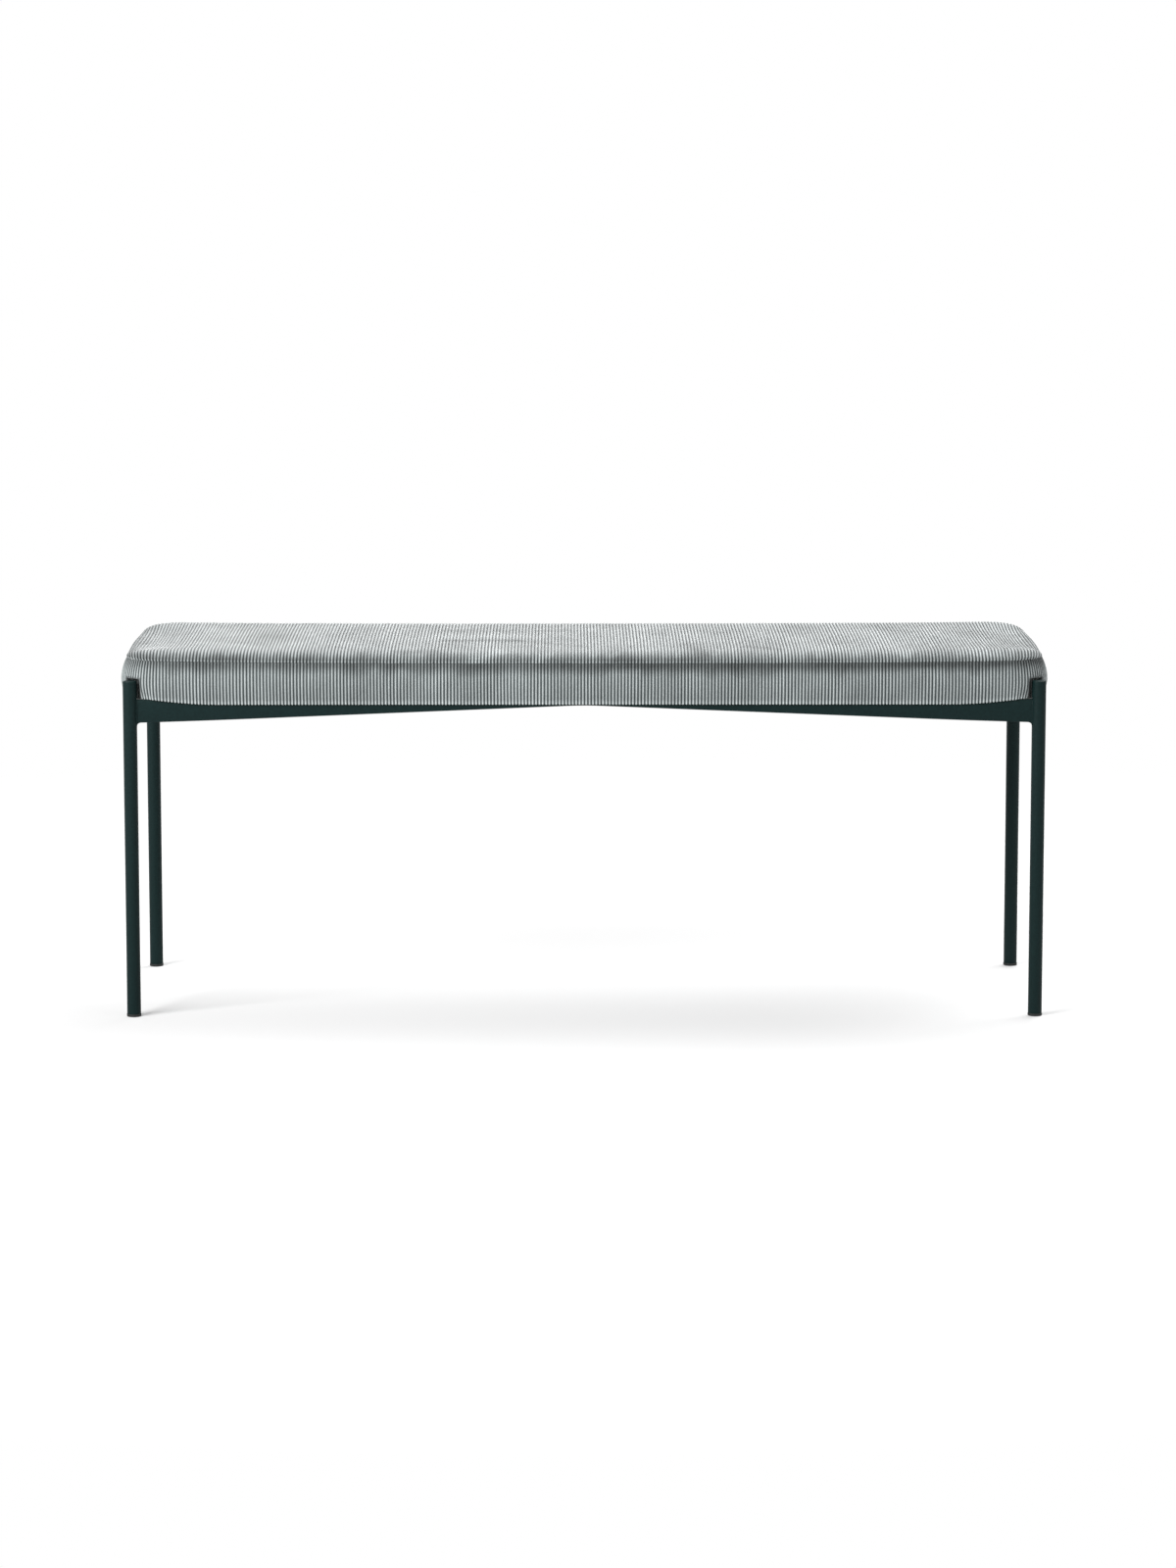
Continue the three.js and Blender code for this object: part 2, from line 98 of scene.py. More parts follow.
def linear(hex_code: str) -> tuple[float, float, float, float]:
    """Turns an sRGB hex colour to linear.

    Args:
        hex_code: the colour, as "#RRGGBB".

    Returns:
        The linear red, green, blue and an alpha of 1.
    """
    shares = [int(hex_code[i : i + 2], 16) / 255 for i in (1, 3, 5)]
    turned = [s / 12.92 if s <= 0.04045 else ((s + 0.055) / 1.055) ** 2.4 for s in shares]
    return (*turned, 1.0)


def feed(tree: NodeTree, node: Node, inputs: dict | tuple | list) -> None:
    """Sets or links a node's inputs.

    Args:
        tree: the node tree.
        node: the node that is fed.
        inputs: by name or number, or in their order, a value, or the node or output that feeds it.
    """
    pairs = inputs.items() if isinstance(inputs, dict) else enumerate(inputs)
    for name, value in pairs:
        if isinstance(value, Node):
            value = value.outputs[0]
        if isinstance(value, bpy.types.NodeSocket):
            tree.links.new(value, node.inputs[name])
        else:
            node.inputs[name].default_value = value


def add_node(tree: NodeTree, kind: str, inputs: dict | tuple | list = (), stops: tuple = (), **settings) -> Node:
    """Adds a shader node with its settings and links.

    Args:
        tree: the material's or world's node tree.
        kind: the node's type, without the words that all of them start with.
        inputs: what sets or feeds its inputs.
        stops: a colour ramp's positions and sRGB hex colours.
        settings: the node's own properties.

    Returns:
        The new node.
    """
    node = tree.nodes.new("ShaderNode" + kind)
    for name, value in settings.items():
        setattr(node, name, value)
    for number, (position, colour) in enumerate(stops):
        elements = node.color_ramp.elements
        element = elements[number] if number < 2 else elements.new(position)
        element.position = position
        element.color = linear(colour)
    feed(tree, node, inputs)
    return node


def new_material(name: str) -> tuple[Material, NodeTree, Node]:
    """Makes a material with an empty tree but for its output and a Principled shader.

    Args:
        name: the real finish's name.

    Returns:
        The material, its tree and the shader.
    """
    material = bpy.data.materials.new(name)
    material.use_nodes = True
    tree = material.node_tree
    tree.nodes.clear()
    shader = add_node(tree, "BsdfPrincipled")
    add_node(tree, "OutputMaterial", {"Surface": shader})
    return material, tree, shader


def pattern(tree: NodeTree, kind: str, size: float, stretch: tuple = (1, 1, 1), **inputs: float) -> Node:
    """Adds a pattern on Object coordinates.

    Args:
        tree: the node tree.
        kind: the pattern's node.
        size: the pattern's real size.
        stretch: how much finer it is along each axis.
        inputs: the node's other inputs.

    Returns:
        The pattern's node. A noise gives about 0.5 on average.
    """
    place = add_node(tree, "TexCoord").outputs["Object"]
    mapped = add_node(tree, "Mapping", {"Vector": place, "Scale": stretch})
    return add_node(tree, kind, {"Vector": mapped, "Scale": 1 / size, **inputs})


def shaded(tree: NodeTree, colour: Node | tuple, *shares: tuple) -> bpy.types.NodeSocket:
    """Multiplies a colour by patterns, each mapped to a range near 1.

    Args:
        tree: the node tree.
        colour: the colour, or the node that gives it.
        shares: for each pattern, its node or output, its two ends and what these become.

    Returns:
        The product's socket.
    """
    for share in shares:
        inputs = {0: 1.0, 6: colour, 7: add_node(tree, "MapRange", share)}
        settings = {"data_type": "RGBA", "blend_type": "MULTIPLY", "clamp_result": False}
        colour = add_node(tree, "Mix", inputs, **settings).outputs[2]
    return colour


@dataclass(frozen=True)
class Corduroy:
    """Wide-ribbed cotton corduroy with a brushed cut pile.

    The pile's crests are pale and its grooves darker: the grooves' colour is their own darker base with painted
    shade in it. Where the nap lies over, the grey shifts in clouds, and it shines where it is seen at a low angle.
    """

    # the grooves' darker base colour, with painted shade in the grooves
    groove_and_shade: str = "#2B3132"
    flank: str = "#687071"
    crest: str = "#B7BDBD"
    flank_share: float = 0.62
    sheen_tint: str = "#FFFFFF"
    sheen_roughness: float = 0.35
    roughness: float = 0.9
    specular: float = 0.2
    nap_ends: Place = (-1.4, 1.0)
    # colour shares at the nap attribute's ends: brushed pile, and painted shade and highlight
    brushed_and_painted_light: Place = (0.3, 1.5)
    sheen: Place = (0.3375, 1.05)
    cloud_size: float = 85 * MM
    cloud_stretch: tuple = (1, 1.6, 1)
    cloud_shares: Place = (0.86, 1.1)
    tuft_size: float = 1.1 * MM  # real tufts are about 0.3 mm, too fine to show
    tuft_shares: Place = (0.86, 1.12)
    depth: float = 0.3 * MM  # of the bump
    strength: float = 0.7

    def material(self) -> Material:
        """Makes the material. It reads the cloth's wale attribute, and its nap attribute, which carries painted
        shade and a painted highlight as well as the nap's clouds and strokes.
        """
        material, tree, shader = new_material("grey_corduroy")
        wale = add_node(tree, "Attribute", attribute_name="wale").outputs["Fac"]
        nap_and_painted_light = add_node(tree, "Attribute", attribute_name="nap_and_painted_light").outputs["Fac"]
        stops = ((0.0, self.groove_and_shade), (1.0, self.crest), (self.flank_share, self.flank))
        rib = add_node(tree, "ValToRGB", [wale], stops)
        clouds = pattern(tree, "TexNoise", self.cloud_size, self.cloud_stretch, Detail=3.0)
        tufts = pattern(tree, "TexNoise", self.tuft_size)
        shares = (
            (clouds, *NOISE, *self.cloud_shares),
            (tufts, *NOISE, *self.tuft_shares),
            # the nap attribute scales the colour and the sheen: the nap's clouds and strokes, painted shade by the
            # seam and in the pockets, and a painted highlight on the lower edge
            (nap_and_painted_light, *self.nap_ends, *self.brushed_and_painted_light),
        )
        inputs = {
            "Base Color": shaded(tree, rib, *shares),
            "Roughness": self.roughness,
            "Specular IOR Level": self.specular,
            "Sheen Weight": add_node(tree, "MapRange", (nap_and_painted_light, *self.nap_ends, *self.sheen)),
            "Sheen Roughness": self.sheen_roughness,
            "Sheen Tint": linear(self.sheen_tint),
            "Normal": add_node(tree, "Bump", {"Height": tufts, "Distance": self.depth, "Strength": self.strength}),
        }
        feed(tree, shader, inputs)
        return material


@dataclass(frozen=True)
class PowderCoat:
    """Steel with a satin powder coat, sprayed and baked.

    It is a very dark green-grey with a soft highlight, and a faint orange peel from the powder's melting.
    """

    base: str = "#102222"
    roughness: Place = (0.4, 0.51)
    shine: float = 0.11
    grain_size: float = 0.9 * MM
    grain_shares: Place = (0.93, 1.07)
    peel_size: float = 3.5 * MM
    peel_shares: Place = (0.9, 1.12)
    depth: float = 0.04 * MM  # of the bump
    strength: float = 0.35

    def material(self) -> Material:
        """Makes the material."""
        material, tree, shader = new_material("satin_powder_coat")
        grain = pattern(tree, "TexNoise", self.grain_size, Detail=1.0)
        peel = pattern(tree, "TexNoise", self.peel_size)
        shares = ((peel, *NOISE, *self.peel_shares), (grain, *NOISE, *self.grain_shares))
        inputs = {
            "Base Color": shaded(tree, linear(self.base), *shares),
            "Roughness": add_node(tree, "MapRange", (peel, *NOISE, *self.roughness)),
            "Specular IOR Level": self.shine,
            "Normal": add_node(tree, "Bump", {"Height": grain, "Distance": self.depth, "Strength": self.strength}),
        }
        feed(tree, shader, inputs)
        return material


@dataclass(frozen=True)
class MouldedNylon:
    """Black nylon, injection moulded, with a fine spark-eroded texture that dulls it, scuffed at the floor."""

    base: str = "#0F1414"
    scuff: str = "#1E2323"
    roughness: Place = (0.52, 0.66)
    texture_size: float = 0.5 * MM
    texture_shares: Place = (0.85, 1.15)
    scuff_height: float = 1.1 * MM
    depth: float = 0.05 * MM  # of the bump
    strength: float = 0.5

    def material(self) -> Material:
        """Makes the material."""
        material, tree, shader = new_material("moulded_nylon")
        texture = pattern(tree, "TexNoise", self.texture_size)
        place = add_node(tree, "TexCoord").outputs["Object"]
        height = add_node(tree, "SeparateXYZ", [place]).outputs["Z"]
        worn = add_node(tree, "MapRange", (height, 0.0, self.scuff_height, 1.0, 0.0))
        colour = add_node(tree, "ValToRGB", [worn], ((0.0, self.base), (1.0, self.scuff)))
        inputs = {
            "Base Color": shaded(tree, colour, (texture, *NOISE, *self.texture_shares)),
            "Roughness": add_node(tree, "MapRange", (texture, *NOISE, *self.roughness)),
            "Normal": add_node(tree, "Bump", {"Height": texture, "Distance": self.depth, "Strength": self.strength}),
        }
        feed(tree, shader, inputs)
        return material


@dataclass(frozen=True)
class ZincPlate:
    """Bright zinc plate on turned steel: a pale metal, with fine marks from turning and a faint bloom."""

    base: str = "#B9BCBA"
    roughness: Place = (0.24, 0.44)
    mark_size: float = 0.6 * MM
    mark_stretch: tuple = (1, 1, 4)
    bloom_size: float = 3.6 * MM
    bloom_shares: Place = (0.85, 1.08)
    depth: float = 0.02 * MM  # of the bump
    strength: float = 0.4

    def material(self) -> Material:
        """Makes the material."""
        material, tree, shader = new_material("bright_zinc_plate")
        marks = pattern(tree, "TexNoise", self.mark_size, self.mark_stretch)
        bloom = pattern(tree, "TexNoise", self.bloom_size)
        inputs = {
            "Base Color": shaded(tree, linear(self.base), (bloom, *NOISE, *self.bloom_shares)),
            "Roughness": add_node(tree, "MapRange", (marks, *NOISE, *self.roughness)),
            "Metallic": 1.0,
            "Normal": add_node(tree, "Bump", {"Height": marks, "Distance": self.depth, "Strength": self.strength}),
        }
        feed(tree, shader, inputs)
        return material


@dataclass(frozen=True)
class BirchPlywood:
    """Unfinished birch plywood: a pale face with fine grain along the bench, and dark glue lines on its edge."""

    pale: str = "#CDB083"
    dark: str = "#A98758"
    roughness: Place = (0.55, 0.72)
    ply: float = 3 * MM
    glue: Place = (0.7, 1.0)
    glue_share: float = 0.4
    grain_size: float = 2.2 * MM
    grain_stretch: tuple = (0.05, 1, 1)
    figure_size: float = 66 * MM
    figure_stretch: tuple = (0.15, 1, 1)
    figure_shares: Place = (0.9, 1.08)
    depth: float = 0.1 * MM  # of the bump
    strength: float = 0.4

    def material(self) -> Material:
        """Makes the material."""
        material, tree, shader = new_material("birch_plywood")
        grain = pattern(tree, "TexNoise", self.grain_size, self.grain_stretch, Detail=4.0)
        figure = pattern(tree, "TexNoise", self.figure_size, self.figure_stretch)
        wood = add_node(tree, "ValToRGB", [grain], tuple(zip(NOISE, (self.dark, self.pale))))
        place = add_node(tree, "TexCoord").outputs["Object"]
        # A wave at a scale of 1 has 20 crests in a full turn's length
        waves = {"Vector": place, "Scale": FULL_TURN / 20 / self.ply, "Distortion": 0.0}
        plies = add_node(tree, "TexWave", waves, bands_direction="Z").outputs["Fac"]
        shares = ((plies, 0.0, self.glue_share, *self.glue), (figure, *NOISE, *self.figure_shares))
        inputs = {
            "Base Color": shaded(tree, wood, *shares),
            "Roughness": add_node(tree, "MapRange", (grain, *NOISE, *self.roughness)),
            "Normal": add_node(tree, "Bump", {"Height": grain, "Distance": self.depth, "Strength": self.strength}),
        }
        feed(tree, shader, inputs)
        return material


@dataclass(frozen=True)
class CutFoam:
    """Cut polyurethane foam: cream, matt, with open cells about a millimetre wide."""

    base: str = "#E3DAC0"
    roughness: Place = (0.98, 0.88)
    cell: float = 1.4 * MM
    cell_ends: Place = (0.0, 0.6)
    cell_shares: Place = (0.8, 1.05)
    depth: float = 0.4 * MM  # of the bump
    strength: float = 0.6

    def material(self) -> Material:
        """Makes the material."""
        material, tree, shader = new_material("cut_foam")
        cells = pattern(tree, "TexVoronoi", self.cell)
        inputs = {
            "Base Color": shaded(tree, linear(self.base), (cells, *self.cell_ends, *self.cell_shares)),
            "Roughness": add_node(tree, "MapRange", (cells, *self.cell_ends, *self.roughness)),
            "Normal": add_node(tree, "Bump", {"Height": cells, "Distance": self.depth, "Strength": self.strength}),
        }
        feed(tree, shader, inputs)
        return material


@dataclass(frozen=True)
class SpunbondCloth:
    """Black spunbonded polypropylene, pressed with small points that shine a little more than the fleece."""

    base: str = "#23272A"
    point: str = "#3A3F42"
    roughness: Place = (0.92, 0.6)
    sheen: float = 0.15
    pitch: float = 2.4 * MM
    point_ends: Place = (0.15, 0.3)
    fibre: float = 0.8 * MM
    fibre_shares: Place = (0.75, 1.2)
    depth: float = 0.1 * MM  # of the bump
    strength: float = 0.5

    def material(self) -> Material:
        """Makes the material."""
        material, tree, shader = new_material("spunbond_cloth")
        points = pattern(tree, "TexVoronoi", self.pitch, Randomness=0.0)
        fibres = pattern(tree, "TexNoise", self.fibre, Detail=3.0)
        pressed = add_node(tree, "MapRange", (points, *self.point_ends, 1.0, 0.0))
        colour = add_node(tree, "ValToRGB", [pressed], ((0.0, self.base), (1.0, self.point)))
        inputs = {
            "Base Color": shaded(tree, colour, (fibres, *NOISE, *self.fibre_shares)),
            "Roughness": add_node(tree, "MapRange", (pressed, 0.0, 1.0, *self.roughness)),
            "Sheen Weight": self.sheen,
            "Normal": add_node(tree, "Bump", {"Height": points, "Distance": self.depth, "Strength": self.strength}),
        }
        feed(tree, shader, inputs)
        return material


# Making and handing over pieces


def hand_over(piece: Piece, slot: Slot, material: Material, *nodes: str) -> Piece:
    """Finishes a new piece: its material, its body and the nodes that it stands for.

    Args:
        piece: the new object.
        slot: its material slot; not used.
        material: its finish.
        nodes: the CAD nodes that it replaces.

    Returns:
        The same object.
    """
    piece.data.materials.clear()
    piece.data.materials.append(material)
    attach(piece, "root")
    if nodes:
        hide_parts(*nodes)
    log.info("%s: %d faces", piece.name, len(piece.data.polygons))
    return piece


def linked(name: str, data: bpy.types.ID) -> Piece:
    """Makes an object of a mesh, a lamp or a camera and puts it in the scene."""
    piece = bpy.data.objects.new(name, data)
    bpy.context.scene.collection.objects.link(piece)
    return piece


def object_of(bm: BMesh, name: str, sharp_degrees: float = 35.0) -> Piece:
    """Makes an object of a bmesh, smooth but for its sharp edges.

    Args:
        bm: the bmesh, which is freed.
        name: the object's name.
        sharp_degrees: edges that turn more than this stay sharp.

    Returns:
        The linked object.
    """
    mesh = bpy.data.meshes.new(name)
    bm.to_mesh(mesh)
    bm.free()
    mesh.shade_smooth()
    mesh.set_sharp_from_angle(angle=math.radians(sharp_degrees))
    return linked(name, mesh)


def bevel(bm: BMesh, edges: list[bmesh.types.BMEdge], width: float, segments: int = 2) -> None:
    """Rounds edges.

    Args:
        bm: the bmesh.
        edges: the edges to round.
        width: the round's width.
        segments: how many faces go round it.
    """
    settings = {"offset_type": "OFFSET", "profile": 0.5, "affect": "EDGES", "material": -1}
    bmesh.ops.bevel(bm, geom=edges, offset=width, segments=segments, **settings)


def extruded_ring(bm: BMesh, edges: list[bmesh.types.BMEdge]) -> tuple[list, list]:
    """Extrudes a ring of edges.

    Args:
        bm: the bmesh.
        edges: the ring.

    Returns:
        The new ring's points and edges.
    """
    made = bmesh.ops.extrude_edge_only(bm, edges=edges)["geom"]
    ring = [part for part in made if isinstance(part, bmesh.types.BMVert)]
    return ring, [part for part in made if isinstance(part, bmesh.types.BMEdge) and set(part.verts) <= set(ring)]


def extruded_face(bm: BMesh, face: bmesh.types.BMFace, by: tuple) -> list[bmesh.types.BMVert]:
    """Extrudes a face to a solid.

    Args:
        bm: the bmesh.
        face: the face.
        by: how far it goes.

    Returns:
        The far face's points.
    """
    made = bmesh.ops.extrude_face_region(bm, geom=[face])["geom"]
    moved = [part for part in made if isinstance(part, bmesh.types.BMVert)]
    bmesh.ops.translate(bm, verts=moved, vec=by)
    return moved


def turned(profile: Profile, x: float, y: float, steps: int) -> BMesh:
    """Turns a closed profile round an upright axis.

    Args:
        profile: radii and heights, going round the section.
        x: the axis's place.
        y: the axis's place.
        steps: faces round the turn.

    Returns:
        A closed bmesh with its faces outwards.
    """
    bm = bmesh.new()
    verts = [bm.verts.new((x + radius, y, height)) for radius, height in profile]
    edges = [bm.edges.new(pair) for pair in zip(verts, verts[1:] + verts[:1]) if pair[0].co.x + pair[1].co.x > 2 * x]
    turn = {"cent": (x, y, 0), "axis": (0, 0, 1), "angle": FULL_TURN, "use_merge": True, "use_duplicate": False}
    bmesh.ops.spin(bm, geom=verts + edges, steps=steps, **turn)
    bmesh.ops.remove_doubles(bm, verts=bm.verts, dist=0.001 * MM)
    bmesh.ops.delete(bm, geom=[edge for edge in bm.edges if not edge.link_faces], context="EDGES")
    bmesh.ops.recalc_face_normals(bm, faces=bm.faces)
    return bm


def curve(start: Place, bend: Place, end: Place, steps: int) -> Profile:
    """Draws a curve from a start to an end, which leaves and arrives in the direction of its bend.

    Args:
        start: where it starts.
        bend: where its two directions meet.
        end: where it ends.
        steps: how many steps it takes.

    Returns:
        Its points, both ends included.
    """
    made = []
    for step in range(steps + 1):
        t = step / steps
        made.append(tuple((1 - t) ** 2 * a + 2 * t * (1 - t) * b + t**2 * c for a, b, c in zip(start, bend, end)))
    return made


def rounded_profile(profile: Profile, corners: dict[int, float], steps: int = 4) -> Profile:
    """Rounds some corners of a profile.

    Args:
        profile: radii and heights.
        corners: for each corner's number, its round's length along both sides.
        steps: points along each round.

    Returns:
        The profile with its corners rounded.
    """
    made = []
    for number, point in enumerate(profile):
        if number not in corners:
            made.append(point)
            continue
        here = Vector(point)
        before = Vector(profile[number - 1]) - here
        after = Vector(profile[(number + 1) % len(profile)]) - here
        start = here + before.normalized() * corners[number]
        end = here + after.normalized() * corners[number]
        made += curve(start, here, end, steps)
    return made


def smooth(share: Array) -> Array:
    """Eases a share in and out, clipped to 0 and 1."""
    share = np.clip(share, 0, 1)
    return share * share * (3 - 2 * share)


@dataclass(frozen=True)
class Wander:
    """A smooth wandering of a value over the cloth, the same each run.

    The strength is about how far it goes to each side, and the length about how far one swell is from the
    next. Where the second coordinate counts for less, the swells are drawn out along it.
    """

    strength: float
    length: float
    seed: int
    second_share: float = 1.0
    waves: int = 9

    def at(self, first: Array, second: Array) -> Array:
        """Its value at each point, by the point's two coordinates."""
        random = np.random.default_rng(self.seed)
        total = np.zeros(np.broadcast(first, second).shape)
        for _ in range(self.waves):
            angle, phase = random.uniform(0, FULL_TURN, 2)
            length = self.length * random.uniform(0.6, 1.7)
            across = first * math.cos(angle) + self.second_share * second * math.sin(angle)
            total += np.sin(across * FULL_TURN / length + phase)
        return self.strength * total / math.sqrt(self.waves)

    def over(self, flat: Array) -> Array:
        """Its value at each point of a flat cut."""
        return self.at(flat[..., 0], flat[..., 1])


def coordinates(mesh: bpy.types.Mesh) -> Array:
    """Reads the places of a mesh's points."""
    places = np.zeros(len(mesh.vertices) * 3)
    mesh.vertices.foreach_get("co", places)
    return places.reshape(-1, 3)


def search_tree(points: Array) -> KDTree:
    """Makes a tree that finds the nearest of some points."""
    tree = KDTree(len(points))
    for number, point in enumerate(points):
        tree.insert(point, number)
    tree.balance()
    return tree


# The steel frame


@dataclass(frozen=True)
class FrameSizes:
    """Sizes of the welded frame, as in its solids."""

    leg_half_length: float = 586 * MM
    leg_half_depth: float = 177 * MM
    leg_radius: float = 9 * MM
    leg_bore: float = 7.5 * MM
    leg_top: float = 439.3 * MM
    cap_thickness: float = 2.4 * MM
    cap_edge: float = 1.2 * MM
    cap_plug_length: float = 8 * MM
    glide_height: float = 3.4 * MM
    glide_proud: float = 0.4 * MM
    glide_edge: float = 0.9 * MM
    glide_plug_length: float = 14 * MM
    fit_gap: float = 0.3 * MM
    rail_top: float = 415 * MM
    rail_thickness: float = 6 * MM
    rail_end_depth: float = 29.6 * MM
    rail_knee_depth: float = 25.1 * MM
    rail_knee_distance: float = 146 * MM
    rail_middle_depth: float = 7.3 * MM
    rail_middle_round: float = 20 * MM
    rail_fillet: float = 6 * MM
    bearer_spacing: float = 1172 / 3 * MM
    bearer_width: float = 30 * MM
    bearer_top: float = 414.1 * MM
    bearer_thickness: float = 5 * MM

    def legs(self) -> list[tuple[str, float, float]]:
        """Lists each leg's name and the place of its axis."""
        made = []
        for row, y_sign in (("front", -1), ("back", 1)):
            for end, x_sign in (("left", -1), ("right", 1)):
                made.append((f"{row}_{end}", x_sign * self.leg_half_length, y_sign * self.leg_half_depth))
        return made


@dataclass
class Legs:
    """Round tube legs with welded caps and plug-in glides."""

    sizes: FrameSizes
    steel: Material
    nylon: Material
    facets: int = 72
    tube_edge: float = 0.25 * MM
    cap_edge_share: float = 1.4
    cap_steps: int = 6
    flange_edge: float = 0.3 * MM

    def build(self) -> None:
        """Makes the tube, the cap and the glide of each leg."""
        s = self.sizes
        plug = s.leg_bore - s.fit_gap
        cap_bottom = s.leg_top - s.cap_thickness
        tube = rounded_profile(
            [
                (s.leg_bore, s.glide_height + s.fit_gap),
                (s.leg_radius, s.glide_height + s.fit_gap),
                (s.leg_radius, cap_bottom),
                (s.leg_bore, cap_bottom),
            ],
            {1: self.tube_edge},
        )
        cap = rounded_profile(
            [
                (0, cap_bottom - s.cap_plug_length),
                (plug, cap_bottom - s.cap_plug_length),
                (plug, cap_bottom),
                (s.leg_radius, cap_bottom),
                (s.leg_radius, s.leg_top),
                (0, s.leg_top),
            ],
            {4: self.cap_edge_share * s.cap_edge},
            self.cap_steps,
        )
        glide_radius = s.leg_radius + s.glide_proud
        glide = rounded_profile(
            [
                (0, 0),
                (glide_radius, 0),
                (glide_radius, s.glide_height),
                (plug, s.glide_height),
                (plug, s.glide_height + s.glide_plug_length),
                (0, s.glide_height + s.glide_plug_length),
            ],
            {1: s.glide_edge, 2: self.flange_edge},
        )
        for name, x, y in s.legs():
            for part, profile, slot, finish in (
                ("leg", tube, Slot.POWDER_COAT, self.steel),
                ("leg_cap", cap, Slot.POWDER_COAT, self.steel),
                ("glide", glide, Slot.GLIDE_PLASTIC, self.nylon),
            ):
                piece = object_of(turned(profile, x, y, self.facets), f"{part}_turned_{name}")
                hand_over(piece, slot, finish, f"{part}_{name}")


@dataclass
class Rails:
    """The four plate rails: the long ones are deep at the legs and slender in the middle."""

    sizes: FrameSizes
    steel: Material
    edge_round: float = 0.7 * MM
    edge_steps: int = 3
    curve_steps: int = 10

    def lower_edge(self, half_span: float, kind: RailKind) -> Profile:
        """Draws half of a rail's lower edge.

        Args:
            half_span: from the middle to the leg's axis.
            kind: the rail's outline.

        Returns:
            Points from the leg to the middle, as distance and depth under the rail's top.
        """
        s = self.sizes
        end = half_span - math.sqrt(s.leg_radius**2 - (s.rail_thickness / 2) ** 2)
        low = -s.rail_end_depth - s.rail_fillet
        points = []
        for step in range(self.curve_steps + 1):
            angle = (1 - step / self.curve_steps) * QUARTER_TURN
            points.append((end - s.rail_fillet * (1 - math.sin(angle)), low + s.rail_fillet * math.cos(angle)))
        points[0] = (end, low)
        if kind is RailKind.STRAIGHT:
            return [*points, (0.0, -s.rail_end_depth)]
        knee = half_span - s.rail_knee_distance
        slope = (s.rail_knee_depth - s.rail_middle_depth) / knee
        bend = (half_span - s.leg_radius - s.rail_knee_distance / 2, 0.0)
        bend = (bend[0], -s.rail_knee_depth - slope * (bend[0] - knee))
        start, finish = points[-1], (knee, -s.rail_knee_depth)
        round_z = -s.rail_middle_depth - slope * s.rail_middle_round
        middle = ((s.rail_middle_round, round_z), (0.0, -s.rail_middle_depth), (-s.rail_middle_round, round_z))
        ends = ((start, bend, finish), middle)
        for first, middle, last in ends:
            for point in curve(first, middle, last, self.curve_steps):
                if point[0] >= -TINY and point != points[-1]:
                    points.append((max(point[0], 0.0), point[1]))
        return points

    def plate(self, half_span: float, kind: RailKind) -> BMesh:
        """Makes a plate along X, standing upright round y = 0."""
        s = self.sizes
        half = self.lower_edge(half_span, kind)
        outline = [(half[0][0], 0.0), *half]
        outline += [(-x, z) for x, z in reversed(outline) if x > TINY]
        bm = bmesh.new()
        verts = [bm.verts.new((x, -s.rail_thickness / 2, s.rail_top + z)) for x, z in outline]
        face = bm.faces.new(verts)
        near = set(verts)
        far = set(extruded_face(bm, face, (0, s.rail_thickness, 0)))
        long_edges = [
            edge
            for side in (near, far)
            for edge in bm.edges
            if set(edge.verts) <= side and abs(edge.verts[0].co.x - edge.verts[1].co.x) > 0.001 * MM
        ]
        bmesh.ops.recalc_face_normals(bm, faces=bm.faces)
        bevel(bm, long_edges, self.edge_round, self.edge_steps)
        bmesh.ops.triangulate(bm, faces=[f for f in bm.faces if len(f.verts) > 4])
        return bm

    def build(self) -> None:
        """Makes the long rails and the end rails."""
        s = self.sizes
        for name, kind, half_span, angle, shift in (
            ("front", RailKind.TAPERED, s.leg_half_length, 0.0, (0, -s.leg_half_depth, 0)),
            ("back", RailKind.TAPERED, s.leg_half_length, 0.0, (0, s.leg_half_depth, 0)),
            ("left", RailKind.STRAIGHT, s.leg_half_depth, QUARTER_TURN, (-s.leg_half_length, 0, 0)),
            ("right", RailKind.STRAIGHT, s.leg_half_depth, QUARTER_TURN, (s.leg_half_length, 0, 0)),
        ):
            bm = self.plate(half_span, kind)
            place = Matrix.Translation(shift) @ Matrix.Rotation(angle, 4, "Z")
            bmesh.ops.transform(bm, matrix=place, verts=bm.verts)
            hand_over(object_of(bm, f"rail_plate_{name}"), Slot.POWDER_COAT, self.steel, f"rail_{name}")


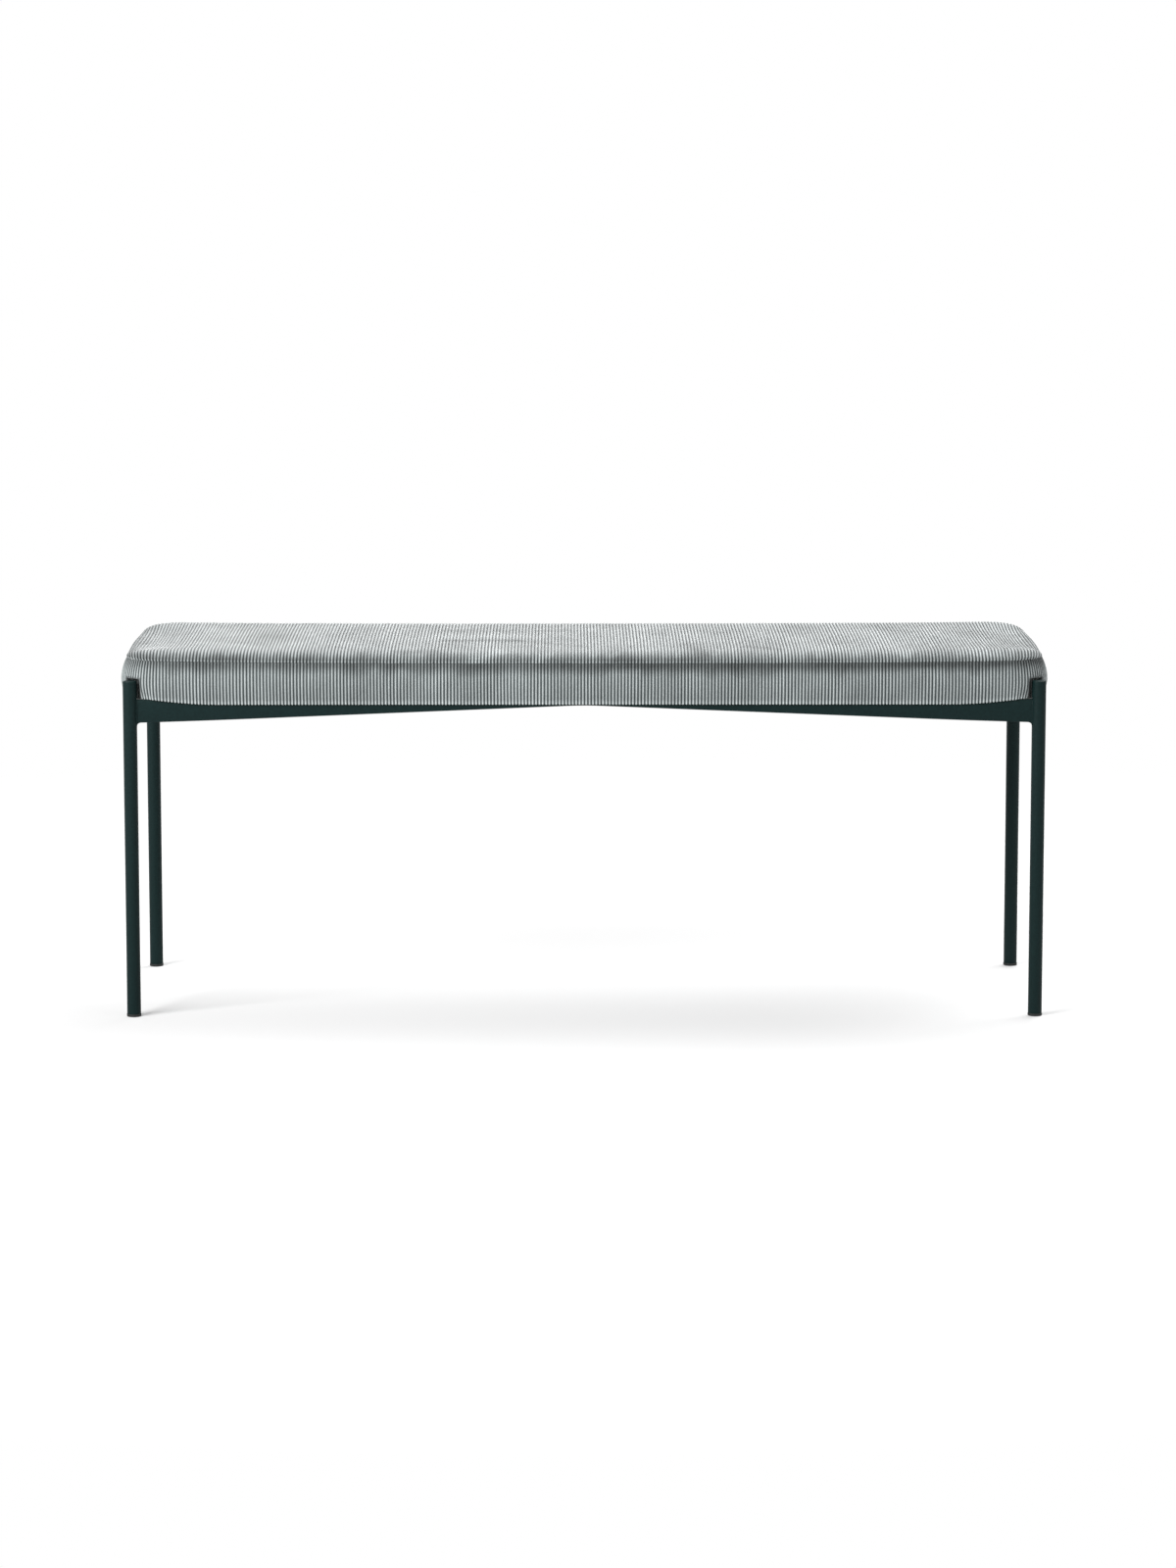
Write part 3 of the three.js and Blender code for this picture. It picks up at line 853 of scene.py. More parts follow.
@dataclass
class Welds:
    """Painted weld beads where the rails meet the legs and the bearers meet the long rails."""

    sizes: FrameSizes
    steel: Material
    radius: float = 1.3 * MM
    ripple: float = 0.12
    ripple_pitch: float = 1.6 * MM
    sides: int = 8
    start_share: float = 0.4
    fewest_rings: int = 4
    below_rail_top: float = 1.5 * MM
    fillet_share: float = 0.8
    bearer_share: float = 0.45
    sharp_degrees: float = 60.0

    def bead(self, bm: BMesh, start: Vector, end: Vector) -> None:
        """Adds one rippled bead between two points.

        Args:
            bm: the bmesh that gets it.
            start: where it starts.
            end: where it ends.
        """
        along = end - start
        rings = max(self.fewest_rings, round(2 * along.length / self.ripple_pitch))
        size = self.radius * self.start_share
        place = Matrix.Translation(start) @ along.to_track_quat("Z", "Y").to_matrix().to_4x4()
        circle = bmesh.ops.create_circle(bm, cap_ends=True, radius=size, segments=self.sides, matrix=place)
        ring = circle["verts"]
        edges = [e for e in bm.edges if e.verts[0] in ring and e.verts[1] in ring and len(e.link_faces) == 1]
        centre = start.copy()
        for number in range(1, rings + 1):
            ring, edges = extruded_ring(bm, edges)
            share = number / rings
            end_share = min(1.0, 5 * min(share, 1 - share) + 0.35)
            wanted = self.radius * end_share * (1 + self.ripple * (-1) ** number)
            bmesh.ops.translate(bm, verts=ring, vec=along / rings)
            centre = centre + along / rings
            bmesh.ops.scale(bm, verts=ring, vec=(wanted / size,) * 3, space=Matrix.Translation(-centre))
            size = wanted
        bmesh.ops.edgeloop_fill(bm, edges=edges)

    def build(self) -> None:
        """Makes all the beads as one piece."""
        s = self.sizes
        bm = bmesh.new()
        reach = math.sqrt(s.leg_radius**2 - (s.rail_thickness / 2) ** 2)
        low = s.rail_top - s.rail_end_depth - self.fillet_share * s.rail_fillet
        high = s.rail_top - self.below_rail_top
        for _, x, y in s.legs():
            x_in, y_in = -math.copysign(1, x), -math.copysign(1, y)
            for side in (-1, 1):
                face = side * s.rail_thickness / 2
                for px, py in ((x + x_in * reach, y + face), (x + face, y + y_in * reach)):
                    self.bead(bm, Vector((px, py, low)), Vector((px, py, high)))
        for column in (-1, 0, 1):
            for side in (-1, 1):
                x, y = column * s.bearer_spacing, side * (s.leg_half_depth - s.rail_thickness / 2)
                half, z = self.bearer_share * s.bearer_width, s.bearer_top - s.bearer_thickness
                self.bead(bm, Vector((x - half, y, z)), Vector((x + half, y, z)))
        bmesh.ops.recalc_face_normals(bm, faces=bm.faces)
        hand_over(object_of(bm, "weld_beads", self.sharp_degrees), Slot.POWDER_COAT, self.steel)


# The seat


@dataclass(frozen=True)
class CushionForm:
    """The cushion's form, as in its solids. An inset is measured in from the widest outline."""

    half_length: float = 600.4 * MM
    half_depth: float = 189 * MM
    corner_radius: float = 55 * MM
    cloth: float = 1.5 * MM
    rail_top: float = 415 * MM
    leg_half_length: float = 586 * MM
    leg_half_depth: float = 177 * MM
    widest_height: float = 438 * MM
    seam_rise: float = 48 * MM
    seam_corner_rise: float = 3.8 * MM
    seam_draw_in: float = 5 * MM
    end_draw_in: float = 2 * MM
    end_bow: float = 2.6 * MM
    shoulder_reach: float = 42 * MM
    shoulder_height: float = 474.2 * MM
    crown_rise: float = 4 * MM
    crown_blend: float = 60 * MM
    lip_drop: float = 6.6 * MM
    lip_start: float = 16 * MM
    lip_fade: float = 90 * MM
    lip_outer: float = 5.7 * MM
    lip_inner: float = 8.7 * MM
    hem_bottom: float = 415.3 * MM
    hem_inset: float = 45 * MM
    rail_face: float = 180 * MM
    pocket_radius: float = 13.8 * MM
    pocket_round: float = 4.5 * MM
    pocket_top: float = 441 * MM
    board_inset: float = 10.8 * MM
    board_top: float = 432.1 * MM
    fit_gap: float = 0.3 * MM

    def leg_axes(self) -> Profile:
        """Where the four legs' axes stand."""
        return [(x * self.leg_half_length, y * self.leg_half_depth) for x in (-1, 1) for y in (-1, 1)]

    def away_from_corners(self, x: Array, y: Array) -> Array:
        """Share from 0 within a corner's round to 1 well away from it."""
        past_x = self.half_length - self.corner_radius - np.abs(x)
        past_y = self.half_depth - self.corner_radius - np.abs(y)
        share = np.clip((np.maximum(past_x, past_y) + self.lip_start) / self.lip_fade, 0, 1)
        return np.sin(share * QUARTER_TURN)

    def lip_height(self, x: Array, y: Array) -> Array:
        """Height of the cover's lower edge."""
        return self.hem_bottom - self.lip_drop * self.away_from_corners(x, y)

    def rail_clearance(self, x: Array, y: Array) -> Array:
        """How far the lower edge must be pushed out to hang in front of a long rail."""
        facing = np.clip((np.abs(y) - self.half_depth + self.corner_radius) / self.corner_radius, 0.5, 1)
        inner = self.half_depth - self.corner_radius + (self.corner_radius - self.lip_inner) * facing
        short = (self.rail_face + 0.7 * self.fit_gap - inner) / facing
        hanging = np.clip(self.away_from_corners(x, y) / 0.05, 0, 1)
        return np.where(facing > 0.9, np.maximum(short, 0) * hanging, 0)

    def seam_height(self, x: Array) -> Array:
        """Height of the seam, which climbs a little towards the corners."""
        share = np.minimum(np.abs(x) / self.leg_half_length, 1)
        return self.rail_top + self.seam_rise + self.seam_corner_rise * share**3

    def end_inset(self, y: Array, at_end: Array) -> Array:
        """How much further in the seam lies at the ends, where the padding's middle bows it out again.

        Args:
            y: the places on the widest outline.
            at_end: how far each faces the bench's end, from 0 to 1.

        Returns:
            The extra insets.
        """
        share = np.clip(np.abs(y) / (self.half_depth - self.corner_radius), 0, 1)
        return at_end * (self.end_draw_in - self.end_bow * (1 - share**2) ** 2)

    def crown_at(self, x: Array, y: Array) -> Array:
        """Swell of the top towards its middle, without a crease where its sides meet."""
        in_x = self.half_length - np.abs(x)
        in_y = self.half_depth - np.abs(y)
        near = np.maximum(self.crown_blend - np.abs(in_x - in_y), 0) / self.crown_blend
        inset = np.minimum(in_x, in_y) - near**2 * self.crown_blend / 4
        inset = np.clip(inset, 0, self.half_depth)
        return self.crown_rise * (1 - (1 - inset / self.half_depth) ** 2)


@dataclass(frozen=True)
class NapStroke:
    """A place where a hand has brushed the pile over, darker or lighter than the rest."""

    start: Place
    end: Place
    width: float
    strength: float

    def at(self, x: Array, y: Array) -> Array:
        """How strongly it shows at each point."""
        along = np.array(self.end) - np.array(self.start)
        length = float(along @ along)
        share = np.clip(((x - self.start[0]) * along[0] + (y - self.start[1]) * along[1]) / length, 0, 1)
        away = np.hypot(x - self.start[0] - share * along[0], y - self.start[1] - share * along[1])
        return self.strength * np.exp(-((away / self.width) ** 2))


@dataclass
class Swelling:
    """How the padding swells: a cloth simulation with air pressure on a coarse copy of the cushion."""

    form: CushionForm
    voxel: float = 6 * MM
    pressure: float = 4.0
    frames: int = 20
    most: float = 5 * MM
    start_inset: float = 1.8 * MM
    neighbours: int = 6
    corner_steps: int = 10
    side_steps: tuple[int, int] = (40, 12)
    foot_shares: tuple = (0.25, 0.5, 0.75, 1.0)
    waist_shares: tuple = (0.35, 0.7, 0.92)
    shoulder_steps: int = 8
    top_shares: tuple = (0.15, 0.35, 0.6, 0.85)
    seam_climb: float = 25 * MM
    shoulder_fade: float = 11.2 * MM
    held_depth: float = 9 * MM
    tree: KDTree | None = None
    moves: Array | None = None
    block: Piece | None = None

    def ring(self, inset: float) -> Profile:
        """Draws the rounded outline at an inset, anticlockwise, with the same count of points for every inset."""
        f, steps = self.form, self.corner_steps
        half_x, half_y = f.half_length - inset, f.half_depth - inset
        radius = max(f.corner_radius - inset, 0.12 * half_y)
        points = []
        for quarter in range(4):
            x_sign = 1 if quarter in (0, 3) else -1
            y_sign = 1 if quarter < 2 else -1
            for step in range(steps + 1):
                angle = (quarter + step / steps) * QUARTER_TURN
                x = x_sign * (half_x - radius) + radius * math.cos(angle)
                points.append((x, y_sign * (half_y - radius) + radius * math.sin(angle)))
            along_x = quarter % 2 == 0
            count = self.side_steps[0] if along_x else self.side_steps[1]
            for step in range(1, count):
                share = 1 - 2 * step / count
                if along_x:
                    points.append((x_sign * share * (half_x - radius), y_sign * half_y))
                else:
                    points.append((x_sign * half_x, y_sign * share * (half_y - radius)))
        return points

    def levels(self) -> Profile:
        """Lists the block's levels from its foot to near its middle, as inset and share of the seam's rise."""
        f, start = self.form, self.start_inset
        made = [(f.lip_outer + start, f.hem_bottom + start)]
        for share in self.foot_shares:
            inset = f.lip_outer * (1 - math.sin(share * QUARTER_TURN)) + start
            made.append((inset, f.hem_bottom + share * (f.widest_height - f.hem_bottom)))
        for share in self.waist_shares:
            inset = f.seam_draw_in * share**2 + start
            made.append((inset, f.widest_height + share * (f.rail_top + f.seam_rise - f.widest_height)))
        rise = f.shoulder_height - f.rail_top - f.seam_rise
        for step in range(self.shoulder_steps + 1):
            angle = step / self.shoulder_steps * QUARTER_TURN
            inset = f.seam_draw_in + f.shoulder_reach * (1 - math.cos(angle)) + start * math.cos(angle)
            height = f.rail_top + f.seam_rise + rise * math.sin(angle) - start * math.sin(angle)
            made.append((inset, height))
        edge = f.seam_draw_in + f.shoulder_reach
        for share in self.top_shares:
            made.append((edge + (f.half_depth - edge) * share, f.shoulder_height - start))
        return made

    def make_block(self) -> Piece:
        """Makes the closed block, a little smaller than the cushion, as an even skin of small squares."""
        f = self.form
        bm = bmesh.new()
        levels = self.levels()
        first = self.ring(levels[0][0])
        ring = bmesh.ops.create_circle(bm, cap_ends=True, radius=f.half_depth, segments=len(first))["verts"]
        edges = list(bm.edges)
        for number, (inset, height) in enumerate(levels):
            if number:
                ring, edges = extruded_ring(bm, edges)
            for vert, (x, y) in zip(ring, self.ring(inset)):
                seam = float(f.seam_height(np.array(x))) - f.rail_top - f.seam_rise
                rise = seam * min(max((height - f.widest_height) / self.seam_climb, 0), 1)
                rise *= min(max((f.shoulder_height - height) / self.shoulder_fade, 0), 1)
                crown = float(f.crown_at(np.array(x), np.array(y))) if height > f.rail_top + f.seam_rise else 0.0
                vert.co = (x, y, height + rise + crown)
        bmesh.ops.edgeloop_fill(bm, edges=edges)
        bmesh.ops.recalc_face_normals(bm, faces=bm.faces)
        block = object_of(bm, "seat_padding")
        remesh = block.modifiers.new("even_skin", "REMESH")
        remesh.mode = "VOXEL"
        remesh.voxel_size = self.voxel
        return applied(block)

    def run(self) -> None:
        """Steps the simulation and keeps how far each point of the block moves."""
        self.block = self.make_block()
        mesh, f = self.block.data, self.form
        rest = coordinates(mesh)
        seam = f.seam_height(rest[:, 0])
        in_x, in_y = f.half_length - np.abs(rest[:, 0]), f.half_depth - np.abs(rest[:, 1])
        outer = np.minimum(in_x, in_y) < f.seam_draw_in + self.held_depth
        corner = np.hypot(np.maximum(f.corner_radius - in_x, 0), np.maximum(f.corner_radius - in_y, 0))
        outer |= corner > f.corner_radius - f.seam_draw_in - self.held_depth
        held = (np.abs(rest[:, 2] - seam) < 0.8 * self.voxel) & outer
        held |= rest[:, 2] < f.hem_bottom + 1.5 * self.voxel
        group = self.block.vertex_groups.new(name="held")
        group.add([int(i) for i in np.flatnonzero(held)], 1.0, "REPLACE")
        cloth = self.block.modifiers.new("pressure", "CLOTH")
        settings = cloth.settings
        settings.quality = 4
        settings.mass = 0.3
        settings.tension_stiffness = settings.compression_stiffness = 15
        settings.shear_stiffness = 8
        settings.bending_stiffness = 1.5
        settings.use_pressure = True
        settings.uniform_pressure_force = self.pressure
        settings.vertex_group_mass = group.name
        settings.effector_weights.gravity = 0
        cloth.collision_settings.use_collision = False
        cloth.point_cache.frame_start = 1
        cloth.point_cache.frame_end = self.frames
        scene = bpy.context.scene
        for number in range(1, self.frames + 1):
            scene.frame_set(number)
        graph = bpy.context.evaluated_depsgraph_get()
        moves = coordinates(self.block.evaluated_get(graph).data) - rest
        self.block.modifiers.remove(cloth)
        scene.frame_set(1)
        length = np.linalg.norm(moves, axis=1, keepdims=True)
        moves *= self.most * np.tanh(length / self.most) / np.maximum(length, TINY)
        self.moves = moves
        mesh.vertices.foreach_set("co", (rest + 0.5 * moves).ravel())
        mesh.update()
        self.tree = search_tree(rest)
        log.info("padding swells by %.1f mm at most, %.1f mm on average", length.max() / MM, length.mean() / MM)

    def uneven(self, points: Array, normals: Array) -> Array:
        """What the simulation adds to a cover's points, less the mean of each row, by which the form is smaller.

        Args:
            points: columns by rows of points.
            normals: their normals.

        Returns:
            The move along the normal of each point.
        """
        if self.tree is None:
            return np.zeros(points.shape[:2])
        moved = np.zeros(points.shape[:2])
        for column in range(points.shape[0]):
            for row in range(points.shape[1]):
                found = self.tree.find_n(points[column, row], self.neighbours)
                weights = np.array([1 / (distance + 1 * MM) for _, _, distance in found])
                move = weights @ self.moves[[number for _, number, _ in found]] / weights.sum()
                moved[column, row] = move @ normals[column, row]
        return moved - np.median(moved, axis=0, keepdims=True)


def applied(piece: Piece) -> Piece:
    """Applies a piece's modifiers to its mesh."""
    graph = bpy.context.evaluated_depsgraph_get()
    mesh = bpy.data.meshes.new_from_object(piece.evaluated_get(graph), depsgraph=graph)
    piece.modifiers.clear()
    piece.data = mesh
    mesh.shade_smooth()
    return piece


def surface_normals(points: Array, outside: tuple) -> Array:
    """Works out the normals of a grid of points.

    Args:
        points: columns by rows of points.
        outside: the direction in which the middle column's middle row faces.

    Returns:
        Unit normals, all turned the same way.
    """
    normals = np.cross(np.gradient(points, axis=0), np.gradient(points, axis=1))
    normals /= np.maximum(np.linalg.norm(normals, axis=2, keepdims=True), 1e-12)
    middle = normals[points.shape[0] // 2, points.shape[1] // 2]
    return normals if middle @ np.array(outside) > 0 else -normals


def wale_depth(phase: Array) -> Array:
    """A rib's section: 0 on its rounded crest and 1 in the narrow groove."""
    return np.abs(np.cos(math.pi * phase)) ** 4


@dataclass
class ClothShell:
    """A closed sheet of ribbed cloth: a fine outer face and a coarse inner face that share a hidden edge."""

    name: str
    outer: Array
    inner: Array
    wale: Array
    nap_and_painted_light: Array
    flat: Array

    def build(self) -> Piece:
        """Makes the piece, with its wale attribute, its attribute of nap and painted light, and its cloth map."""
        bm = bmesh.new()
        for face in (self.outer, self.inner):
            bmesh.ops.create_grid(bm, x_segments=face.shape[0] - 1, y_segments=face.shape[1] - 1, size=1.0)
        mesh = bpy.data.meshes.new(self.name)
        bm.to_mesh(mesh)
        bm.free()
        outer = self.outer.transpose(1, 0, 2).reshape(-1, 3)
        inner = self.inner.transpose(1, 0, 2).reshape(-1, 3)
        mesh.vertices.foreach_set("co", np.concatenate([outer, inner]).ravel())
        for name, values in (("wale", self.wale), ("nap_and_painted_light", self.nap_and_painted_light)):
            attribute = mesh.attributes.new(name, "FLOAT", "POINT")
            attribute.data.foreach_set("value", np.concatenate([values.T.ravel(), np.zeros(len(inner))]))
        flat = np.concatenate([self.flat.transpose(1, 0, 2).reshape(-1, 2), np.zeros((len(inner), 2))])
        corner = np.zeros(len(mesh.loops), dtype=np.int64)
        mesh.loops.foreach_get("vertex_index", corner)
        mesh.uv_layers.new(name="cloth").uv.foreach_set("vector", flat[corner].ravel())
        mesh.update()
        return self.welded(mesh)

    def welded(self, mesh: bpy.types.Mesh) -> Piece:
        """Welds the shell's hidden edge and turns its faces outwards."""
        bm = bmesh.new()
        bm.from_mesh(mesh)
        rim = [v for v in bm.verts if any(len(e.link_faces) == 1 for e in v.link_edges)]
        bmesh.ops.remove_doubles(bm, verts=rim, dist=0.002 * MM)
        bmesh.ops.dissolve_degenerate(bm, dist=0.0005 * MM, edges=bm.edges)
        bmesh.ops.recalc_face_normals(bm, faces=bm.faces)
        bm.to_mesh(mesh)
        bm.free()
        mesh.shade_smooth()
        return linked(self.name, mesh)


@dataclass(frozen=True)
class SeamShade:
    """Painted shade beside the seam, laid on the nap attribute. It ends in fingers and is stronger at one end."""

    strength: float
    tilt: float
    wander: Wander
    reach: float
    fingers: tuple[Wander, ...]
    start: float
    shortest: float
    tilt_length: float = 300 * MM

    def at(self, away: Array, along: Array, flat: Array) -> Array:
        """Works out the painted shade that it gives.

        Args:
            away: how far each point is from the seam.
            along: each point's place along the bench.
            flat: each point's place on the flat cloth.

        Returns:
            Its share of the nap attribute, below 0 where the painted shade is.
        """
        end = self.reach * (1 + sum(finger.over(flat) for finger in self.fingers))
        strength = self.strength + self.tilt * np.tanh(along / self.tilt_length) + self.wander.over(flat)
        return -strength * (1 - smooth((away - self.start) / np.maximum(end, self.shortest)))


@dataclass
class RibbedCloth:
    """What the two parts of the cover share: the form that they cover, their cloth and their ribs."""

    form: CushionForm
    cloth: Material
    wales: int = 1
    columns_per_wale: int = 1
    groove_depth: float = 1.2 * MM
    rib_place: float = 25 * MM  # far enough apart that each rib's nap wanders on its own
    fill: float = 0.85
    lining: tuple[Array, Array] | None = None

    def finer(self, coarse: Array) -> Array:
        """Spreads values that stand at the grooves over all columns."""
        grooves = np.arange(self.wales + 1)
        return np.stack([np.interp(self.phase(), grooves, row) for row in coarse.T], axis=1)

    def phase(self) -> Array:
        """Each column's place, counted in ribs."""
        return np.arange(self.wales * self.columns_per_wale + 1) / self.columns_per_wale

    def nearest_groove(self) -> Array:
        """The number of the groove that is nearest to each column."""
        return np.round(self.phase() + 1e-6).astype(int)

    def rib_nap(self, wander: Wander, flat: Array) -> Array:
        """Nap that differs from rib to rib."""
        return wander.at(np.floor(self.phase())[:, None] * self.rib_place, flat[..., 1])

    def finished(self, shell: ClothShell, node: str) -> Piece:
        piece = hand_over(shell.build(), Slot.CORDUROY, self.cloth, node)
        return piece


@dataclass
class TopPanel(RibbedCloth):
    """The cover's top: one flat cut of corduroy whose ribs run front to back and bend down to the seam."""

    wales: int = 280
    columns_per_wale: int = 6
    rows: int = 45
    curve_points: int = 240
    turn_points: int = 12
    allowance: float = 4 * MM
    allowance_fade: float = 2 * MM
    turn_radius: float = 1 * MM
    end_blend: float = 18 * MM
    uneven: Wander = Wander(0.06, 30 * MM, 11)
    wobble: Wander = Wander(0.07 * MM, 90 * MM, 5)
    wobble_fade: float = 20 * MM
    groove_start: float = -1.5 * MM
    groove_fade: float = 2.5 * MM
    # painted shade: scales the wale attribute so that the top's grooves take more of the dark groove colour
    groove_shade: float = 1.3
    fullness: float = 0.7 * MM
    fullness_fade: float = 30 * MM
    end_fullness: float = 0.7 * MM
    end_fullness_length: float = 34 * MM
    end_zone: float = 60 * MM
    end_zone_fade: float = 40 * MM
    # painted shade on the shoulder above the seam
    shade: SeamShade = SeamShade(
        strength=0.78,
        tilt=-0.17,
        wander=Wander(0.12, 120 * MM, 37, 0.0),
        reach=27 * MM,
        fingers=(Wander(0.25, 55 * MM, 13), Wander(0.25, 20 * MM, 14, 0.0)),
        start=2 * MM,
        shortest=5 * MM,
    )
    shade_fade: float = 2.5 * MM
    clouds: Wander = Wander(0.14, 80 * MM, 19, 0.5)
    rib_wander: Wander = Wander(0.1, 60 * MM, 43)
    strokes: list[NapStroke] = field(default_factory=list)

    def profile(self) -> tuple[Array, ...]:
        """Traces the shoulder from the seam's allowance to the flat, by the length of cloth that it takes.

        Returns:
            Lengths from the seam, and for each the reach inwards, the share of the shoulder's rise and the drop.
        """
        f = self.form
        angle = np.linspace(0, QUARTER_TURN, self.curve_points)
        rise = f.shoulder_height - f.rail_top - f.seam_rise
        reach, lift = f.shoulder_reach * (1 - np.cos(angle)), np.sin(angle)
        lengths = np.concatenate([[0], np.cumsum(np.hypot(np.diff(reach), rise * np.diff(lift)))])
        turn = np.linspace(QUARTER_TURN, 0, self.turn_points)[:-1]
        turn_lengths = -self.turn_radius * turn
        far_reach = self.turn_radius + turn_lengths[0] + self.allowance
        beyond = 1.0  # metres on the flat, more than the panel has
        return (
            np.concatenate([[-self.allowance], turn_lengths, lengths, [lengths[-1] + beyond]]),
            np.concatenate([[far_reach], self.turn_radius * (1 - np.cos(turn)), reach, [f.shoulder_reach + beyond]]),
            np.concatenate([[0], turn * 0, lift, [1]]),
            np.concatenate([[self.turn_radius], self.turn_radius * np.sin(turn), angle * 0, [0]]),
        )

    def surface(self, columns: int, depth: float) -> tuple[Array, Array, Array]:
        """Bends the flat cut to the cushion.

        Args:
            columns: how many columns of points it has.
            depth: how far inside the cloth's outer face it lies.

        Returns:
            The points, each one's length from the seam, and its place on the flat cut.
        """
        f = self.form
        lengths, reach, lift, drop = self.profile()
        seam_radius = f.corner_radius - f.seam_draw_in
        flat_radius = seam_radius + lengths[-2] - f.shoulder_reach
        centre_x, centre_y = f.half_length - f.corner_radius, f.half_depth - f.corner_radius
        edge = flat_radius + self.allowance
        u = np.linspace(-centre_x - edge, centre_x + edge, columns)
        past = np.clip(np.abs(u) - centre_x, 0, edge)
        half = centre_y + np.sqrt(np.maximum(edge**2 - past**2, 0))
        v = half[:, None] * np.sin(np.linspace(-1, 1, self.rows) * QUARTER_TURN)[None, :]
        u = np.repeat(u[:, None], self.rows, axis=1)
        over_x = np.maximum(np.abs(u) - centre_x, 0)
        over_y = np.maximum(np.abs(v) - centre_y, 0)
        out = np.hypot(over_x, over_y)
        length = flat_radius - out
        at_end = (over_x / np.maximum(out, TINY)) ** 2 * (out > 0)
        slope_r = np.gradient(reach, lengths)
        slope_z = np.gradient(lift * (f.shoulder_height - f.rail_top - f.seam_rise) - drop, lengths)
        fade = np.clip((length + self.allowance) / (self.allowance + self.allowance_fade), 0, 1) ** 1.5
        inwards = depth * fade
        at_reach = np.interp(length, lengths, reach) + inwards * np.interp(length, lengths, slope_z)
        at_reach += f.end_inset(v, at_end) * (1 - smooth(length / self.end_blend))
        share = np.where(out > TINY, (seam_radius - at_reach) / np.maximum(out, TINY), 1.0)
        x = np.sign(u) * (np.minimum(np.abs(u), centre_x) + over_x * share)
        y = np.sign(v) * (np.minimum(np.abs(v), centre_y) + over_y * share)
        seam, lifted = f.seam_height(x), np.interp(length, lengths, lift)
        z = seam + (f.shoulder_height - seam) * lifted - np.interp(length, lengths, drop)
        z += f.crown_at(x, y) * lifted - inwards * np.interp(length, lengths, slope_r)
        return np.stack([x, y, z], axis=2), length, np.stack([u, v], axis=2)

    def fill_out(self, points: Array, length: Array, swell: Array) -> Array:
        """How far the padding fills the panel out at each point, past its plain form."""
        at_ends = smooth((np.abs(points[..., 0]) - self.form.half_length + self.end_zone) / self.end_zone_fade)
        full = (swell + self.fullness) * smooth(length / self.fullness_fade)
        bulge = np.sin(math.pi * np.clip(length / self.end_fullness_length, 0, 1))
        return full + self.end_fullness * at_ends * bulge

    def nap_and_painted_light(self, points: Array, length: Array, flat: Array) -> Array:
        """The nap attribute at each point: painted shade beside the seam, clouds, and the pile brushed by hand."""
        # painted shade beside the seam
        nap_and_painted_light = self.shade.at(length, flat[..., 0], flat) * smooth(length / self.shade_fade)
        nap_and_painted_light += self.clouds.over(flat) + self.rib_nap(self.rib_wander, flat)
        return nap_and_painted_light + sum(stroke.at(points[..., 0], points[..., 1]) for stroke in self.strokes)

    def build(self, swelling: Swelling) -> Piece:
        """Makes the panel with its ribs.

        Args:
            swelling: how the padding swells.

        Returns:
            The finished piece.
        """
        up = (0.0, 0.0, 1.0)
        columns = self.wales * self.columns_per_wale + 1
        points, length, flat = self.surface(columns, 0.0)
        coarse, _, _ = self.surface(self.wales + 1, 0.0)
        swell = self.finer(swelling.uneven(coarse, surface_normals(coarse, up)))
        full = self.fill_out(points, length, swell)
        depth = wale_depth(np.repeat(self.phase()[:, None], self.rows, axis=1))
        shown = np.clip((length - self.groove_start) / self.groove_fade, 0, 1)
        grooves = self.groove_depth * depth * (1 + self.uneven.over(flat)) * shown
        points = points + surface_normals(points, up) * (full - grooves)[..., None]
        points[..., 0] += self.wobble.over(flat) * np.clip(length / self.wobble_fade, 0, 1)
        lining, _, _ = self.surface(columns, self.form.cloth)
        lining_normals = surface_normals(lining, up)
        lining = lining + lining_normals * full[..., None]
        inner = lining[:: self.columns_per_wale].copy()
        visible = length > 0
        visible[1::2] = False
        self.lining = (lining[visible], lining_normals[visible])
        for row in (0, -1):
            points[:, row] = inner[self.nearest_groove(), row]
        for column in (0, -1):
            points[column] = inner[column]
        # painted shade: the top's grooves take more of the dark colour than their depth gives
        wale = 1 - self.groove_shade * depth
        shell = ClothShell("cover_top_cloth", points, inner, wale, self.nap_and_painted_light(points, length, flat), flat)
        return self.finished(shell, "cover_top_panel")


@dataclass(frozen=True)
class SectionRow:
    """One row of the side band's section: its inset, its height over a level, and how fully its ribs show."""

    inset: float
    height: float = 0.0
    shown: float = 0.0


